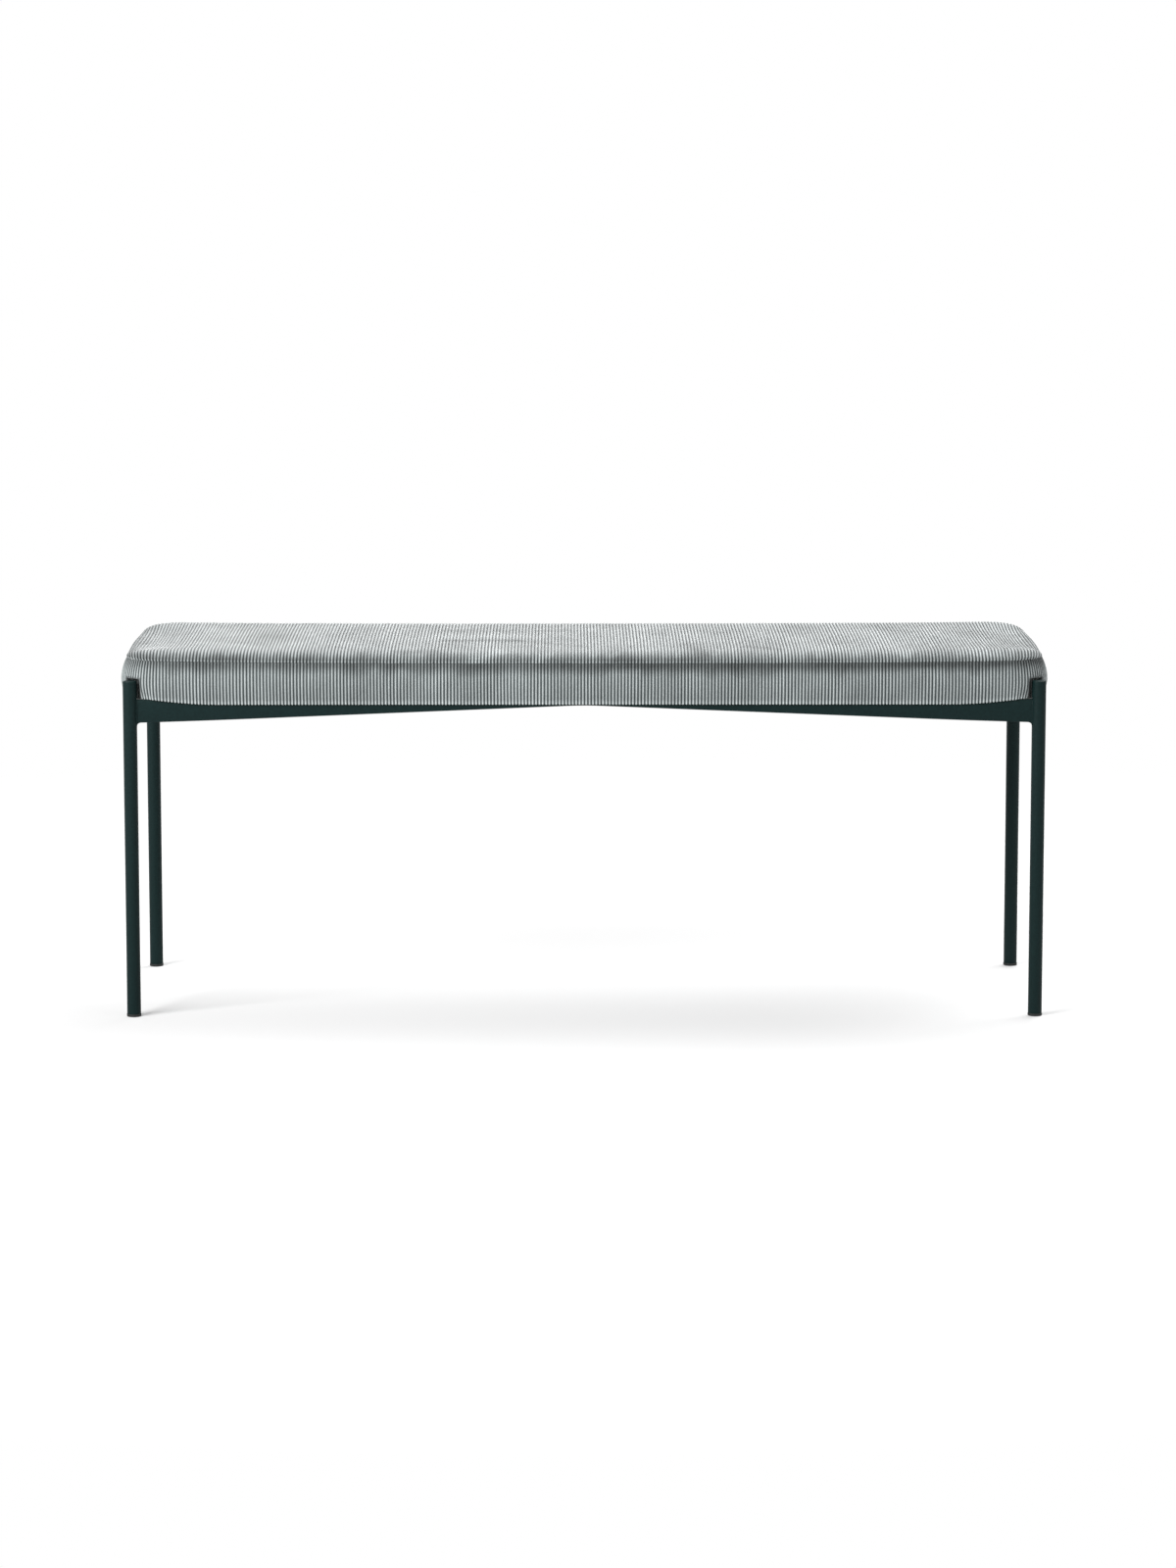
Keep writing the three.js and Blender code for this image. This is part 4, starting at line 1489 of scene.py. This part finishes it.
@dataclass
class SideBand(RibbedCloth):
    """The cover's side band: a strip of corduroy with upright ribs, rolled under at its lower edge."""

    wales: int = 712
    columns_per_wale: int = 5
    uneven: Wander = Wander(0.06, 30 * MM, 17)
    wobble: Wander = Wander(0.07 * MM, 60 * MM, 23)
    turn: float = 1.1 * MM
    below_turn: float = 2.1 * MM
    lip_radius: float = 1.5 * MM
    lining_foot: float = 2 * MM
    pocket_start: float = 0.9 * MM
    pocket_shown: float = 0.25
    upper_shares: tuple = (0.95, 0.84, 0.66, 0.45, 0.27, 0.16, 0.08, 0.0)
    lower_shares: tuple = (0.91, 0.81, 0.62, 0.42, 0.2)
    lip_degrees: tuple = ((0, 1.0), (45, 1.0), (90, 1.0), (140, 0.8), (180, 0.5))
    lining_upper_shares: tuple = (0.9, 0.6, 0.3, 0.0)
    lining_lower_shares: tuple = (0.6, 0.25)
    tucked: tuple[SectionRow, ...] = (
        SectionRow(8.5 * MM),
        SectionRow(6.1 * MM),
        SectionRow(5.3 * MM, -0.25 * MM, 0.4),
    )
    hem: tuple[SectionRow, ...] = (
        SectionRow(9.2 * MM, 0.0, 0.5),
        SectionRow(14 * MM, 0.0, 0.9),
        SectionRow(28 * MM, 0.0, 0.8),
    )
    # painted shade on the band below the seam
    shade: SeamShade = SeamShade(
        strength=1.15,
        tilt=0.17,
        wander=Wander(0.08, 120 * MM, 47, 0.0),
        reach=16 * MM,
        fingers=(Wander(0.16, 60 * MM, 29), Wander(0.14, 22 * MM, 30, 0.0)),
        start=3 * MM,
        shortest=6 * MM,
    )
    clouds: Wander = Wander(0.08, 70 * MM, 31, 0.4)
    rib_wander: Wander = Wander(0.1, 40 * MM, 53)
    nap_level: float = -0.04
    # painted highlight along the cover's rolled lower edge
    lip_painted_highlight: float = 1.2
    lip_highlight_start: float = 0.8 * MM
    lip_highlight_fade: float = 2.2 * MM
    # painted shade inside the leg pockets
    pocket_painted_shade: float = 1.3
    pocket_shade_rise: float = 1.5 * MM
    pocket_shade_fade: float = 2 * MM

    def outline(self, columns: int) -> tuple[Array, Array, Array]:
        """Walks round the widest outline from the back's middle, by the right end.

        Args:
            columns: how many points, the last on the first.

        Returns:
            The centres of the corner rounds or their shadows on the straights, the normals, and the lengths.
        """
        f = self.form
        x, y = f.half_length - f.corner_radius, f.half_depth - f.corner_radius
        corner = f.corner_radius * QUARTER_TURN
        marks = np.cumsum([0, x, corner, 2 * y, corner, 2 * x, corner, 2 * y, corner, x])
        lengths = np.linspace(0, marks[-1], columns)
        at_x = np.interp(lengths, marks, [0, x, x, x, x, -x, -x, -x, -x, 0])
        at_y = np.interp(lengths, marks, [y, y, y, -y, -y, -y, -y, y, y, y])
        angle = np.radians(np.interp(lengths, marks, [90, 90, 0, 0, -90, -90, -180, -180, -270, -270]))
        return np.stack([at_x, at_y], axis=1), np.stack([np.cos(angle), np.sin(angle)], axis=1), lengths

    def pocket(self, centres: Array, normals: Array) -> tuple[Array, Array]:
        """How deep each column goes in at the leg's pocket, and how much lower its roof is there."""
        f = self.form
        deepest, lowered = np.zeros(len(centres)), np.zeros(len(centres))
        for leg in f.leg_axes():
            axis = np.array(leg) - centres
            ahead = (axis * normals).sum(axis=1)
            aside2 = (axis**2).sum(axis=1) - ahead**2
            inside = (aside2 < f.pocket_radius**2) & (ahead > 0)
            cut = ahead - np.sqrt(np.maximum(f.pocket_radius**2 - aside2, 0))
            deepest = np.maximum(deepest, np.where(inside, f.corner_radius - cut, 0))
            past = np.clip(np.sqrt(np.maximum(aside2, 0)) - f.pocket_radius + f.pocket_round, 0, f.pocket_round)
            lowered = np.where(inside, f.pocket_round - np.sqrt(f.pocket_round**2 - past**2), lowered)
        return np.maximum(deepest, 0), lowered

    def section(self, x: Array, y: Array, at_end: Array, thickness: float) -> tuple[Array, Array, Array]:
        """Draws the band's section at each column, from the seam's allowance to the hem's inner edge.

        Args:
            x: the columns' places on the widest outline.
            y: the same.
            at_end: how far each column faces the bench's end, from 0 to 1.
            thickness: how far inside the cloth's outer face it lies. Past 0, fewer rows do.

        Returns:
            Insets, heights and how fully the ribs show, as columns by rows.
        """
        f, outside = self.form, thickness == 0
        seam, foot = f.seam_height(x), f.lip_height(x, y) + self.lip_radius
        extra, top, start = f.end_inset(y, at_end), seam - self.turn, seam - self.below_turn
        hem = f.hem_bottom + thickness
        floor = foot if outside else hem + self.lining_foot
        under_seam = (SectionRow(8.5 * MM), SectionRow(8.2 * MM, -thickness))
        inside_hem = (
            SectionRow(9.2 * MM, 0.6 * MM),
            SectionRow(14 * MM),
            SectionRow(28 * MM),
            SectionRow(f.hem_inset, -thickness),
        )
        rows = [(extra + row.inset, top + row.height, row.shown) for row in (self.tucked if outside else under_seam)]
        for share in self.upper_shares if outside else self.lining_upper_shares:
            inset = (f.seam_draw_in + extra) * share**2 + thickness
            rows.append((inset, f.widest_height + share * (start - f.widest_height), 1.0))
        for share in self.lower_shares if outside else self.lining_lower_shares:
            inset = f.lip_outer * (1 - math.sin(share * QUARTER_TURN)) + thickness
            rows.append((inset, floor + share * (f.widest_height - floor), 1.0))
        for degrees, shown in self.lip_degrees if outside else ():
            angle = math.radians(degrees)
            height = foot - self.lip_radius * math.sin(angle)
            inset = f.lip_outer + self.lip_radius * (1 - math.cos(angle))
            rows.append((inset, np.minimum(height, hem) if degrees > 90 else height, shown))
        hem_rows = (*self.hem, SectionRow(f.hem_inset)) if outside else inside_hem
        rows += [(row.inset, hem + row.height, row.shown) for row in hem_rows]
        ones = np.ones_like(x)
        insets, heights, shown = (np.stack([ones * row[number] for row in rows], axis=1) for number in range(3))
        return insets, heights, shown

    def surface(self, columns: int, thickness: float) -> tuple[Array, Array, Array]:
        """Bends the strip round the cushion.

        Args:
            columns: how many columns of points it has.
            thickness: how far inside the cloth's outer face it lies.

        Returns:
            The points, how fully the ribs show at each, and each one's place on the flat strip.
        """
        f = self.form
        centres, normals, lengths = self.outline(columns)
        edge = centres + normals * f.corner_radius
        insets, heights, shown = self.section(edge[:, 0], edge[:, 1], normals[:, 0] ** 2, thickness)
        out = f.rail_clearance(edge[:, 0], edge[:, 1])[:, None]
        insets = insets - out * smooth((f.widest_height - heights) / (f.widest_height - f.rail_top))
        pocket, lowered = self.pocket(centres, normals)
        roof = f.pocket_top + thickness - lowered[:, None]
        under = smooth((roof + self.pocket_start - heights) / (2 * self.pocket_start))
        cut = np.where(pocket > 0, pocket + thickness, 0)[:, None] * under
        shown = shown * np.where(cut > insets, self.pocket_shown, 1.0)
        insets = np.maximum(insets, cut)
        xy = centres[:, None, :] + normals[:, None, :] * (f.corner_radius - insets)[..., None]
        points = np.concatenate([xy, heights[..., None]], axis=2)
        steps = np.hypot(np.diff(insets, axis=1), np.diff(heights, axis=1))
        down = np.concatenate([np.zeros((columns, 1)), np.cumsum(steps, axis=1)], axis=1)
        flat = np.stack([np.repeat(lengths[:, None], insets.shape[1], axis=1), down], axis=2)
        return points, shown, flat

    def nap_and_painted_light(self, points: Array, flat: Array) -> Array:
        """The nap attribute at each point: painted shade under the seam, a painted highlight on the lip, painted
        shade in the pockets, and clouds.
        """
        f = self.form
        x, y, z = np.moveaxis(points, 2, 0)
        # painted shade under the seam
        nap_and_painted_light = self.shade.at(f.seam_height(x) - z, x, flat) + self.nap_level
        nap_and_painted_light += self.clouds.over(flat) + self.rib_nap(self.rib_wander, flat)
        above_lip = z - f.lip_height(x, y)
        # painted highlight along the rolled lower edge
        nap_and_painted_light += self.lip_painted_highlight * (1 - smooth((above_lip - self.lip_highlight_start) / self.lip_highlight_fade))
        # painted shade inside the leg pockets
        beside = np.hypot(np.abs(x) - f.leg_half_length, np.abs(y) - f.leg_half_depth)
        in_pocket = 1 - smooth((beside - f.pocket_radius) / self.pocket_shade_fade)
        return nap_and_painted_light - self.pocket_painted_shade * in_pocket * (z < f.pocket_top + self.pocket_shade_rise)

    def build(self, swelling: Swelling) -> Piece:
        """Makes the band with its ribs.

        Args:
            swelling: how the padding swells.

        Returns:
            The finished piece.
        """
        front = (0.0, -1.0, 0.0)
        points, shown, flat = self.surface(self.wales * self.columns_per_wale + 1, 0.0)
        coarse, coarse_shown, _ = self.surface(self.wales + 1, 0.0)
        swell = np.maximum(swelling.uneven(coarse, surface_normals(coarse, front)), 0) * (coarse_shown >= 1)
        depth = wale_depth(np.repeat(self.phase()[:, None], points.shape[1], axis=1))
        tight = np.hypot(*np.moveaxis(np.gradient(points[..., :2], axis=0), 2, 0))
        tight = np.clip(tight / (flat[1, 0, 0] - flat[0, 0, 0]), 0, 1)
        grooves = self.groove_depth * depth * (1 + self.uneven.over(flat)) * shown * tight
        along = np.gradient(points, axis=0)
        along /= np.maximum(np.linalg.norm(along, axis=2, keepdims=True), TINY)
        shift = self.wobble.over(flat) * (shown >= 1)
        move = self.finer(swell) - grooves
        points = points + surface_normals(points, front) * move[..., None] + along * shift[..., None]
        inner, _, _ = self.surface(self.wales + 1, self.form.cloth)
        lining, lining_shown, _ = self.surface(2 * self.wales + 1, self.form.cloth)
        visible = lining_shown >= 1
        self.lining = (lining[visible], surface_normals(lining, front)[visible])
        for row in (0, -1):
            points[:, row] = inner[self.nearest_groove(), row]
        points[-1] = points[0]
        inner[-1] = inner[0]
        shell = ClothShell("cover_band_cloth", points, inner, 1 - depth, self.nap_and_painted_light(points, flat), flat)
        return self.finished(shell, "cover_side_band")


@dataclass
class Padding:
    """The foam block under the cover, with the recess that takes the seat board and pockets for the legs."""

    form: CushionForm
    foam: Material
    reach: float = 16 * MM
    furthest: float = 8 * MM
    clearance: float = 0.7 * MM
    seam_room: float = 10.5 * MM
    seam_below: float = 1 * MM
    seam_half_height: float = 2.5 * MM
    seam_fade: float = 2 * MM
    above_hem: float = 4 * MM
    cutter_foot: float = 5 * MM
    pocket_facets: int = 48

    def behind_seam(self, place: Vector) -> Vector:
        """Holds a point of the block's skin back where the seam's allowance lies."""
        f = self.form
        core_x, core_y = f.half_length - f.corner_radius, f.half_depth - f.corner_radius
        near = abs(place.z - float(f.seam_height(place.x)) + self.seam_below)
        middle = Vector((max(-core_x, min(core_x, place.x)), max(-core_y, min(core_y, place.y)), place.z))
        away = float(smooth((near - self.seam_half_height) / self.seam_fade))
        held = f.corner_radius - self.seam_room * (1 - away)
        out = place - middle
        return middle + out * min(1.0, held / max(out.length, TINY))

    def fit_under(self, block: Piece, linings: list[tuple[Array, Array]]) -> None:
        """Draws the block's skin to the cover's inner side.

        Args:
            block: the foam block.
            linings: for each part of the cover, its inner points and their normals.
        """
        points = np.concatenate([lining[0] for lining in linings])
        normals = np.concatenate([lining[1] for lining in linings])
        tree = search_tree(points)
        low = self.form.hem_bottom + self.above_hem
        for vert in block.data.vertices:
            _, number, distance = tree.find(vert.co)
            if distance > self.reach or vert.co.z < low:
                continue
            normal = Vector(normals[number])
            ahead = (Vector(points[number]) - vert.co).dot(normal) - self.clearance
            vert.co += normal * max(min(ahead, self.furthest), -self.reach)
            vert.co = self.behind_seam(vert.co)

    def cutter(self, ring: Profile) -> Piece:
        """Makes the block's recess and pockets as solids.

        Args:
            ring: the recess's outline.

        Returns:
            The object to cut with.
        """
        f = self.form
        bm = bmesh.new()
        foot = f.hem_bottom - self.cutter_foot
        face = bm.faces.new([bm.verts.new((x, y, foot)) for x, y in ring])
        extruded_face(bm, face, (0, 0, f.board_top + f.fit_gap - foot))
        radius = f.pocket_radius + f.cloth + f.fit_gap
        roof = f.pocket_top + f.cloth + f.fit_gap
        post = {"radius1": radius, "radius2": radius, "depth": roof - foot, "segments": self.pocket_facets}
        for x, y in f.leg_axes():
            place = Matrix.Translation((x, y, (foot + roof) / 2))
            bmesh.ops.create_cone(bm, cap_ends=True, matrix=place, **post)
        bmesh.ops.recalc_face_normals(bm, faces=bm.faces)
        return object_of(bm, "recess")

    def build(self, swelling: Swelling, linings: list[tuple[Array, Array]]) -> Piece:
        """Makes the block from the swollen one, or from the plain one where the simulation is skipped.

        Args:
            swelling: how the padding swells.
            linings: the cover's inner points and normals.

        Returns:
            The finished piece.
        """
        block = swelling.block or swelling.make_block()
        self.fit_under(block, linings)
        cutter = self.cutter(swelling.ring(self.form.board_inset - self.form.fit_gap))
        cut = block.modifiers.new("recess", "BOOLEAN")
        cut.operation, cut.solver, cut.use_self, cut.object = "DIFFERENCE", "EXACT", True, cutter
        applied(block)
        bpy.data.objects.remove(cutter)
        hand_over(block, Slot.FOAM, self.foam, "seat_foam")
        return block


@dataclass
class DustCover:
    """Thin black cloth stapled under the board, sagging a little between the bearers."""

    form: CushionForm
    sizes: FrameSizes
    cloth: Material
    wire: Material
    inset: float = 35 * MM
    top: float = 414.95 * MM
    thickness: float = 0.35 * MM
    sag: float = 2.2 * MM
    sag_length: float = 80 * MM
    rim: float = 12 * MM
    rim_fade: float = 70 * MM
    wrinkle: Wander = Wander(0.18 * MM, 45 * MM, 41)
    wrinkle_fade: float = 40 * MM
    columns: int = 181
    rows: int = 49
    staple_pitch: float = 60 * MM
    staple_width: float = 10 * MM
    staple_wire: float = 0.6 * MM
    staple_edge: float = 0.25 * MM
    staple_slant: float = 0.12
    staple_margin: float = 8 * MM
    corner_margin: float = 30 * MM

    def half_sizes(self) -> tuple[float, float, float]:
        """Half length, half depth and corner radius."""
        f = self.form
        return f.half_length - self.inset, f.half_depth - self.inset, f.corner_radius - self.inset

    def build(self) -> Piece:
        """Makes the cloth and its staples."""
        half_x, half_y, radius = self.half_sizes()
        bm = bmesh.new()
        bmesh.ops.create_grid(bm, x_segments=self.columns - 1, y_segments=self.rows - 1, size=1.0)
        for vert in bm.verts:
            x = vert.co.x * half_x
            past = max(abs(x) - (half_x - radius), 0.0)
            half = half_y - radius + math.sqrt(max(radius**2 - past**2, 0.0))
            y = vert.co.y * half
            from_bearer = min(abs(x - column * self.sizes.bearer_spacing) for column in (-1, 0, 1))
            free = min(max(from_bearer - self.sizes.bearer_width / 2, 0) / self.sag_length, 1)
            rim = min(max(min(half_x - abs(x), half - abs(y)) - self.rim, 0) / self.rim_fade, 1)
            drop = self.sag * (3 - 2 * free) * free**2 * (3 - 2 * rim) * rim**2
            vert.co = (x, y, self.top - self.thickness - drop)
        co = np.array([v.co for v in bm.verts])
        for vert, lift in zip(bm.verts, self.wrinkle.over(co)):
            edge = min(max((half_y - abs(vert.co.y)) / self.wrinkle_fade, 0), 1)
            vert.co.z += min(lift * edge, 0.0)
        cloth = object_of(bm, "dust_cover_cloth")
        solid = cloth.modifiers.new("thickness", "SOLIDIFY")
        solid.thickness = self.thickness
        solid.offset = 1
        applied(cloth)
        hand_over(cloth, Slot.DUST_CLOTH, self.cloth, "dust_cover")
        self.add_staples()
        return cloth

    def add_staples(self) -> None:
        """Drives staples through the cloth's edge all round."""
        half_x, half_y, _ = self.half_sizes()
        bm = bmesh.new()
        z = self.top - self.thickness - self.staple_wire
        places = []
        for sign in (-1, 1):
            for x in self.staple_row(half_x):
                places.append((x, sign * (half_y - self.staple_margin), 0.0))
            for y in self.staple_row(half_y):
                places.append((sign * (half_x - self.staple_margin), y, QUARTER_TURN))
        random = np.random.default_rng(7)
        for x, y, angle in places:
            turn = Matrix.Rotation(angle + random.uniform(-self.staple_slant, self.staple_slant), 4, "Z")
            size = Matrix.Diagonal((self.staple_width, 2 * self.staple_wire, self.staple_wire, 1))
            place = Matrix.Translation((x, y, z + self.staple_wire / 2)) @ turn @ size
            made = bmesh.ops.create_cube(bm, size=1.0, matrix=place)
            verts = set(made["verts"])
            ends = [e for e in bm.edges if set(e.verts) <= verts and self.is_crown_end(e, turn)]
            bevel(bm, ends, self.staple_edge)
        hand_over(object_of(bm, "dust_cover_staples"), Slot.ZINC_STEEL, self.wire)

    def staple_row(self, half: float) -> list[float]:
        """Places of the staples along a side of this half length."""
        reach = half - self.corner_margin
        count = round(2 * reach / self.staple_pitch)
        return [-half + self.corner_margin + number * 2 * reach / count for number in range(count + 1)]

    def is_crown_end(self, edge: bmesh.types.BMEdge, turn: Matrix) -> bool:
        """Whether an edge is a lower one across a staple's end."""
        low = all(v.co.z < self.top - self.thickness - 0.5 * self.staple_wire for v in edge.verts)
        along = (edge.verts[1].co - edge.verts[0].co).normalized()
        return low and abs(along.dot(turn.col[1].to_3d())) > 0.9


@dataclass
class Fixings:
    """Button-head screws with hexagon sockets and their washers, seen from below."""

    sizes: FrameSizes
    zinc: Material
    row_spacing: float = 220 * MM
    washer_top: float = 408.8 * MM
    washer_thickness: float = 1.6 * MM
    washer_radius: float = 6.25 * MM
    hole_radius: float = 3.3 * MM
    head_radius: float = 5.5 * MM
    head_height: float = 3.3 * MM
    shank_radius: float = 3 * MM
    shank_top: float = 430.1 * MM
    socket_radius: float = 2 * MM
    socket_depth: float = 1.8 * MM
    facets: int = 48
    washer_edge: float = 0.3 * MM
    button_centre: float = 3 * MM
    button_share: float = 0.85
    button_steps: int = 8
    sharp_degrees: float = 25.0

    def build(self) -> None:
        """Makes the six screws and washers."""
        low = self.washer_top - self.washer_thickness
        hole, rim, high = self.hole_radius, self.washer_radius, self.washer_top
        square = [(hole, low), (rim, low), (rim, high), (hole, high)]
        washer = rounded_profile(square, {1: self.washer_edge, 2: self.washer_edge})
        top = low - self.sizes.fit_gap
        bottom = top - self.head_height
        floor = bottom + self.socket_depth
        head = [(0, floor), (self.socket_radius, floor), (self.socket_radius, bottom)]
        for step in range(self.button_steps + 1):
            angle = step / self.button_steps * QUARTER_TURN
            radius = self.button_centre + (self.head_radius - self.button_centre) * math.sin(angle)
            head.append((radius, bottom + self.button_share * self.head_height * (1 - math.cos(angle))))
        shank = self.shank_radius
        head += [(self.head_radius, top), (shank, top), (shank, self.shank_top), (0, self.shank_top)]
        number = 0
        for column in (-1, 0, 1):
            for side in (-1, 1):
                number += 1
                x, y = column * self.sizes.bearer_spacing, side * self.row_spacing / 2
                piece = object_of(turned(washer, x, y, self.facets), f"washer_turned_{number}")
                hand_over(piece, Slot.ZINC_STEEL, self.zinc, f"washer_{number}")
                bm = turned(head, x, y, self.facets)
                self.cut_hexagon(bm, x, y, bottom)
                piece = object_of(bm, f"screw_turned_{number}", self.sharp_degrees)
                hand_over(piece, Slot.ZINC_STEEL, self.zinc, f"screw_{number}")

    def cut_hexagon(self, bm: BMesh, x: float, y: float, bottom: float) -> None:
        """Draws the round socket in to a hexagon."""
        for vert in bm.verts:
            away = math.hypot(vert.co.x - x, vert.co.y - y)
            close = 0.01 * MM
            if abs(away - self.socket_radius) < close and vert.co.z < bottom + self.socket_depth + close:
                sixth = FULL_TURN / 6
                angle = math.atan2(vert.co.y - y, vert.co.x - x) % sixth - sixth / 2
                share = math.cos(sixth / 2) / math.cos(angle)
                vert.co.x = x + (vert.co.x - x) * share
                vert.co.y = y + (vert.co.y - y) * share


# The studio


@dataclass(frozen=True)
class Lamp:
    """A soft area lamp."""

    name: str
    place: tuple[float, float, float]
    width: float
    power: float
    colour: str = "#FFFFFF"


@dataclass
class Studio:
    """Plain white studio with the photograph's viewpoint."""

    camera_place: tuple[float, float, float] = (-0.02671, -6.40361, 1.23944)
    camera_pitch: float = 0.149
    camera_yaw: float = 0.00499
    focal_pixels: float = 4971.77
    picture_height: int = 1600
    sensor: float = 36.0
    clip_end: float = 100.0
    floor_radius: float = 6.0
    floor_facets: int = 96
    floor_grey: str = "#D6D6D6"
    backdrop: str = "#FFFFFF"
    fade_start: float = 0.9
    fade_end: float = 2.2
    floor_glow: float = 0.24
    ambient: float = 0.36
    aim: tuple[float, float, float] = (0.0, 0.0, 0.4)
    lamps: tuple[Lamp, ...] = (
        Lamp("key", (-2.8, -2.6, 2.8), 2.2, 215),
        Lamp("fill", (3.2, -2.8, 2.2), 2.8, 20),
        Lamp("top", (1.1, 1.4, 3.0), 2.6, 106),
    )

    def build(self) -> None:
        """Makes the camera, the floor, the world and the lamps."""
        self.make_camera()
        self.make_floor()
        self.make_world()
        for lamp in self.lamps:
            light = bpy.data.lights.new(lamp.name, "AREA")
            light.size = lamp.width
            light.energy = lamp.power
            light.color = linear(lamp.colour)[:3]
            holder = linked(lamp.name, light)
            holder.location = lamp.place
            towards = Vector(self.aim) - Vector(lamp.place)
            holder.rotation_euler = towards.to_track_quat("-Z", "Y").to_euler()

    def make_camera(self) -> None:
        """Sets the camera at the photograph's viewpoint."""
        camera = bpy.data.cameras.new("camera")
        camera.sensor_width = self.sensor
        camera.lens = self.focal_pixels * self.sensor / self.picture_height
        camera.clip_end = self.clip_end
        holder = linked("camera", camera)
        holder.location = self.camera_place
        holder.rotation_euler = (QUARTER_TURN - self.camera_pitch, 0, -self.camera_yaw)
        bpy.context.scene.camera = holder

    def make_floor(self) -> None:
        """Makes a round white floor that keeps the bench's shadow and fades out at its edge."""
        bm = bmesh.new()
        bmesh.ops.create_circle(bm, cap_ends=True, radius=self.floor_radius, segments=self.floor_facets)
        floor = object_of(bm, "floor")
        material = bpy.data.materials.new("white_floor")
        material.use_nodes = True
        tree = material.node_tree
        tree.nodes.clear()
        place = add_node(tree, "TexCoord").outputs["Object"]
        away = add_node(tree, "VectorMath", [place], operation="LENGTH").outputs["Value"]
        faded = add_node(tree, "MapRange", (away, self.fade_start, self.fade_end, 0.0, 1.0))
        behind = add_node(tree, "NewGeometry").outputs["Backfacing"]
        seen = add_node(tree, "LightPath").outputs["Is Camera Ray"]
        faded = add_node(tree, "Math", (faded, seen), operation="MULTIPLY")
        gone = add_node(tree, "Math", (faded, behind), operation="MAXIMUM")
        paper = add_node(tree, "BsdfDiffuse", {"Color": linear(self.floor_grey)})
        power = add_node(tree, "Math", (seen, self.floor_glow), operation="MULTIPLY")
        glow = add_node(tree, "Emission", {"Strength": power})
        lit = add_node(tree, "AddShader", (paper, glow))
        clear = add_node(tree, "BsdfTransparent")
        mixed = add_node(tree, "MixShader", (gone, lit, clear))
        add_node(tree, "OutputMaterial", {"Surface": mixed})
        floor.data.materials.append(material)

    def make_world(self) -> None:
        """Makes a world that is white to the eye and in reflections, and lights softly."""
        world = bpy.data.worlds.new("studio")
        world.use_nodes = True
        tree = world.node_tree
        tree.nodes.clear()
        path = add_node(tree, "LightPath").outputs
        seen = add_node(tree, "Math", (path["Is Camera Ray"], path["Is Glossy Ray"]), operation="MAXIMUM")
        seen = add_node(tree, "Math", (seen, path["Is Transmission Ray"]), operation="MAXIMUM")
        soft = add_node(tree, "Background", {"Color": linear(self.backdrop), "Strength": self.ambient})
        white = add_node(tree, "Background", {"Color": linear(self.backdrop), "Strength": 1.0})
        mixed = add_node(tree, "MixShader", (seen, soft, white))
        add_node(tree, "OutputWorld", {"Surface": mixed})
        bpy.context.scene.world = world
        bpy.context.scene.view_settings.view_transform = "Standard"


def dress_nodes(nodes: dict, finishes: dict[str, Material]) -> None:
    """Gives the CAD nodes that stay their finishes.

    Args:
        nodes: the frame's nodes by name.
        finishes: for the start of a node's name, its material.
    """
    for name, node in nodes.items():
        for start, material in finishes.items():
            if name.startswith(start):
                node.data.materials.clear()
                node.data.materials.append(material)


def main() -> None:
    """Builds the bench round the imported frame."""
    logging.basicConfig(level=logging.INFO, format="%(name)s: %(message)s")
    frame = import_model()
    Studio().build()
    sizes, form = FrameSizes(), CushionForm()
    steel, nylon = PowderCoat().material(), MouldedNylon().material()
    zinc, corduroy = ZincPlate().material(), Corduroy().material()
    plywood, foam = BirchPlywood().material(), CutFoam().material()
    spunbond = SpunbondCloth().material()
    dress_nodes(frame["nodes"], {"bearer": steel, "seat_board": plywood, "t_nut": zinc})
    Legs(sizes, steel, nylon).build()
    Rails(sizes, steel).build()
    Welds(sizes, steel).build()
    Fixings(sizes, zinc).build()
    swelling = Swelling(form)
    swelling.run()
    strokes = [
        NapStroke((-0.18, 0.038), (-0.06, 0.038), 14 * MM, -0.5),
        NapStroke((-0.045, 0.04), (-0.022, 0.04), 14 * MM, -0.55),
        NapStroke((-0.18, -0.066), (-0.09, -0.066), 7 * MM, -0.8),
        NapStroke((-0.09, -0.066), (0.0, -0.125), 8 * MM, -0.6),
        NapStroke((-0.24, -0.158), (-0.19, -0.158), 10 * MM, -0.6),
        NapStroke((-0.2, 0.1), (-0.18, 0.1), 10 * MM, -0.45),
        NapStroke((-0.46, 0.13), (-0.37, 0.13), 8 * MM, -0.5),
        NapStroke((-0.19, -0.015), (-0.08, -0.02), 16 * MM, 0.3),
        NapStroke((-0.51, -0.07), (-0.43, -0.12), 14 * MM, 0.3),
        NapStroke((-0.14, -0.182), (-0.11, -0.16), 10 * MM, 0.7),
        NapStroke((-0.06, -0.182), (-0.045, -0.165), 9 * MM, 0.7),
        NapStroke((0.37, 0.12), (0.41, -0.17), 15 * MM, 0.28),
        NapStroke((0.08, 0.1), (0.08, -0.14), 16 * MM, 0.22),
        NapStroke((0.21, -0.125), (0.25, -0.145), 9 * MM, -0.6),
        NapStroke((0.13, -0.09), (0.15, -0.17), 12 * MM, -0.45),
    ]
    top, band = TopPanel(form, corduroy, strokes=strokes), SideBand(form, corduroy)
    top.build(swelling)
    band.build(swelling)
    Padding(form, foam).build(swelling, [top.lining, band.lining])
    DustCover(form, sizes, spunbond, zinc).build()


if __name__ == "__main__":
    main()
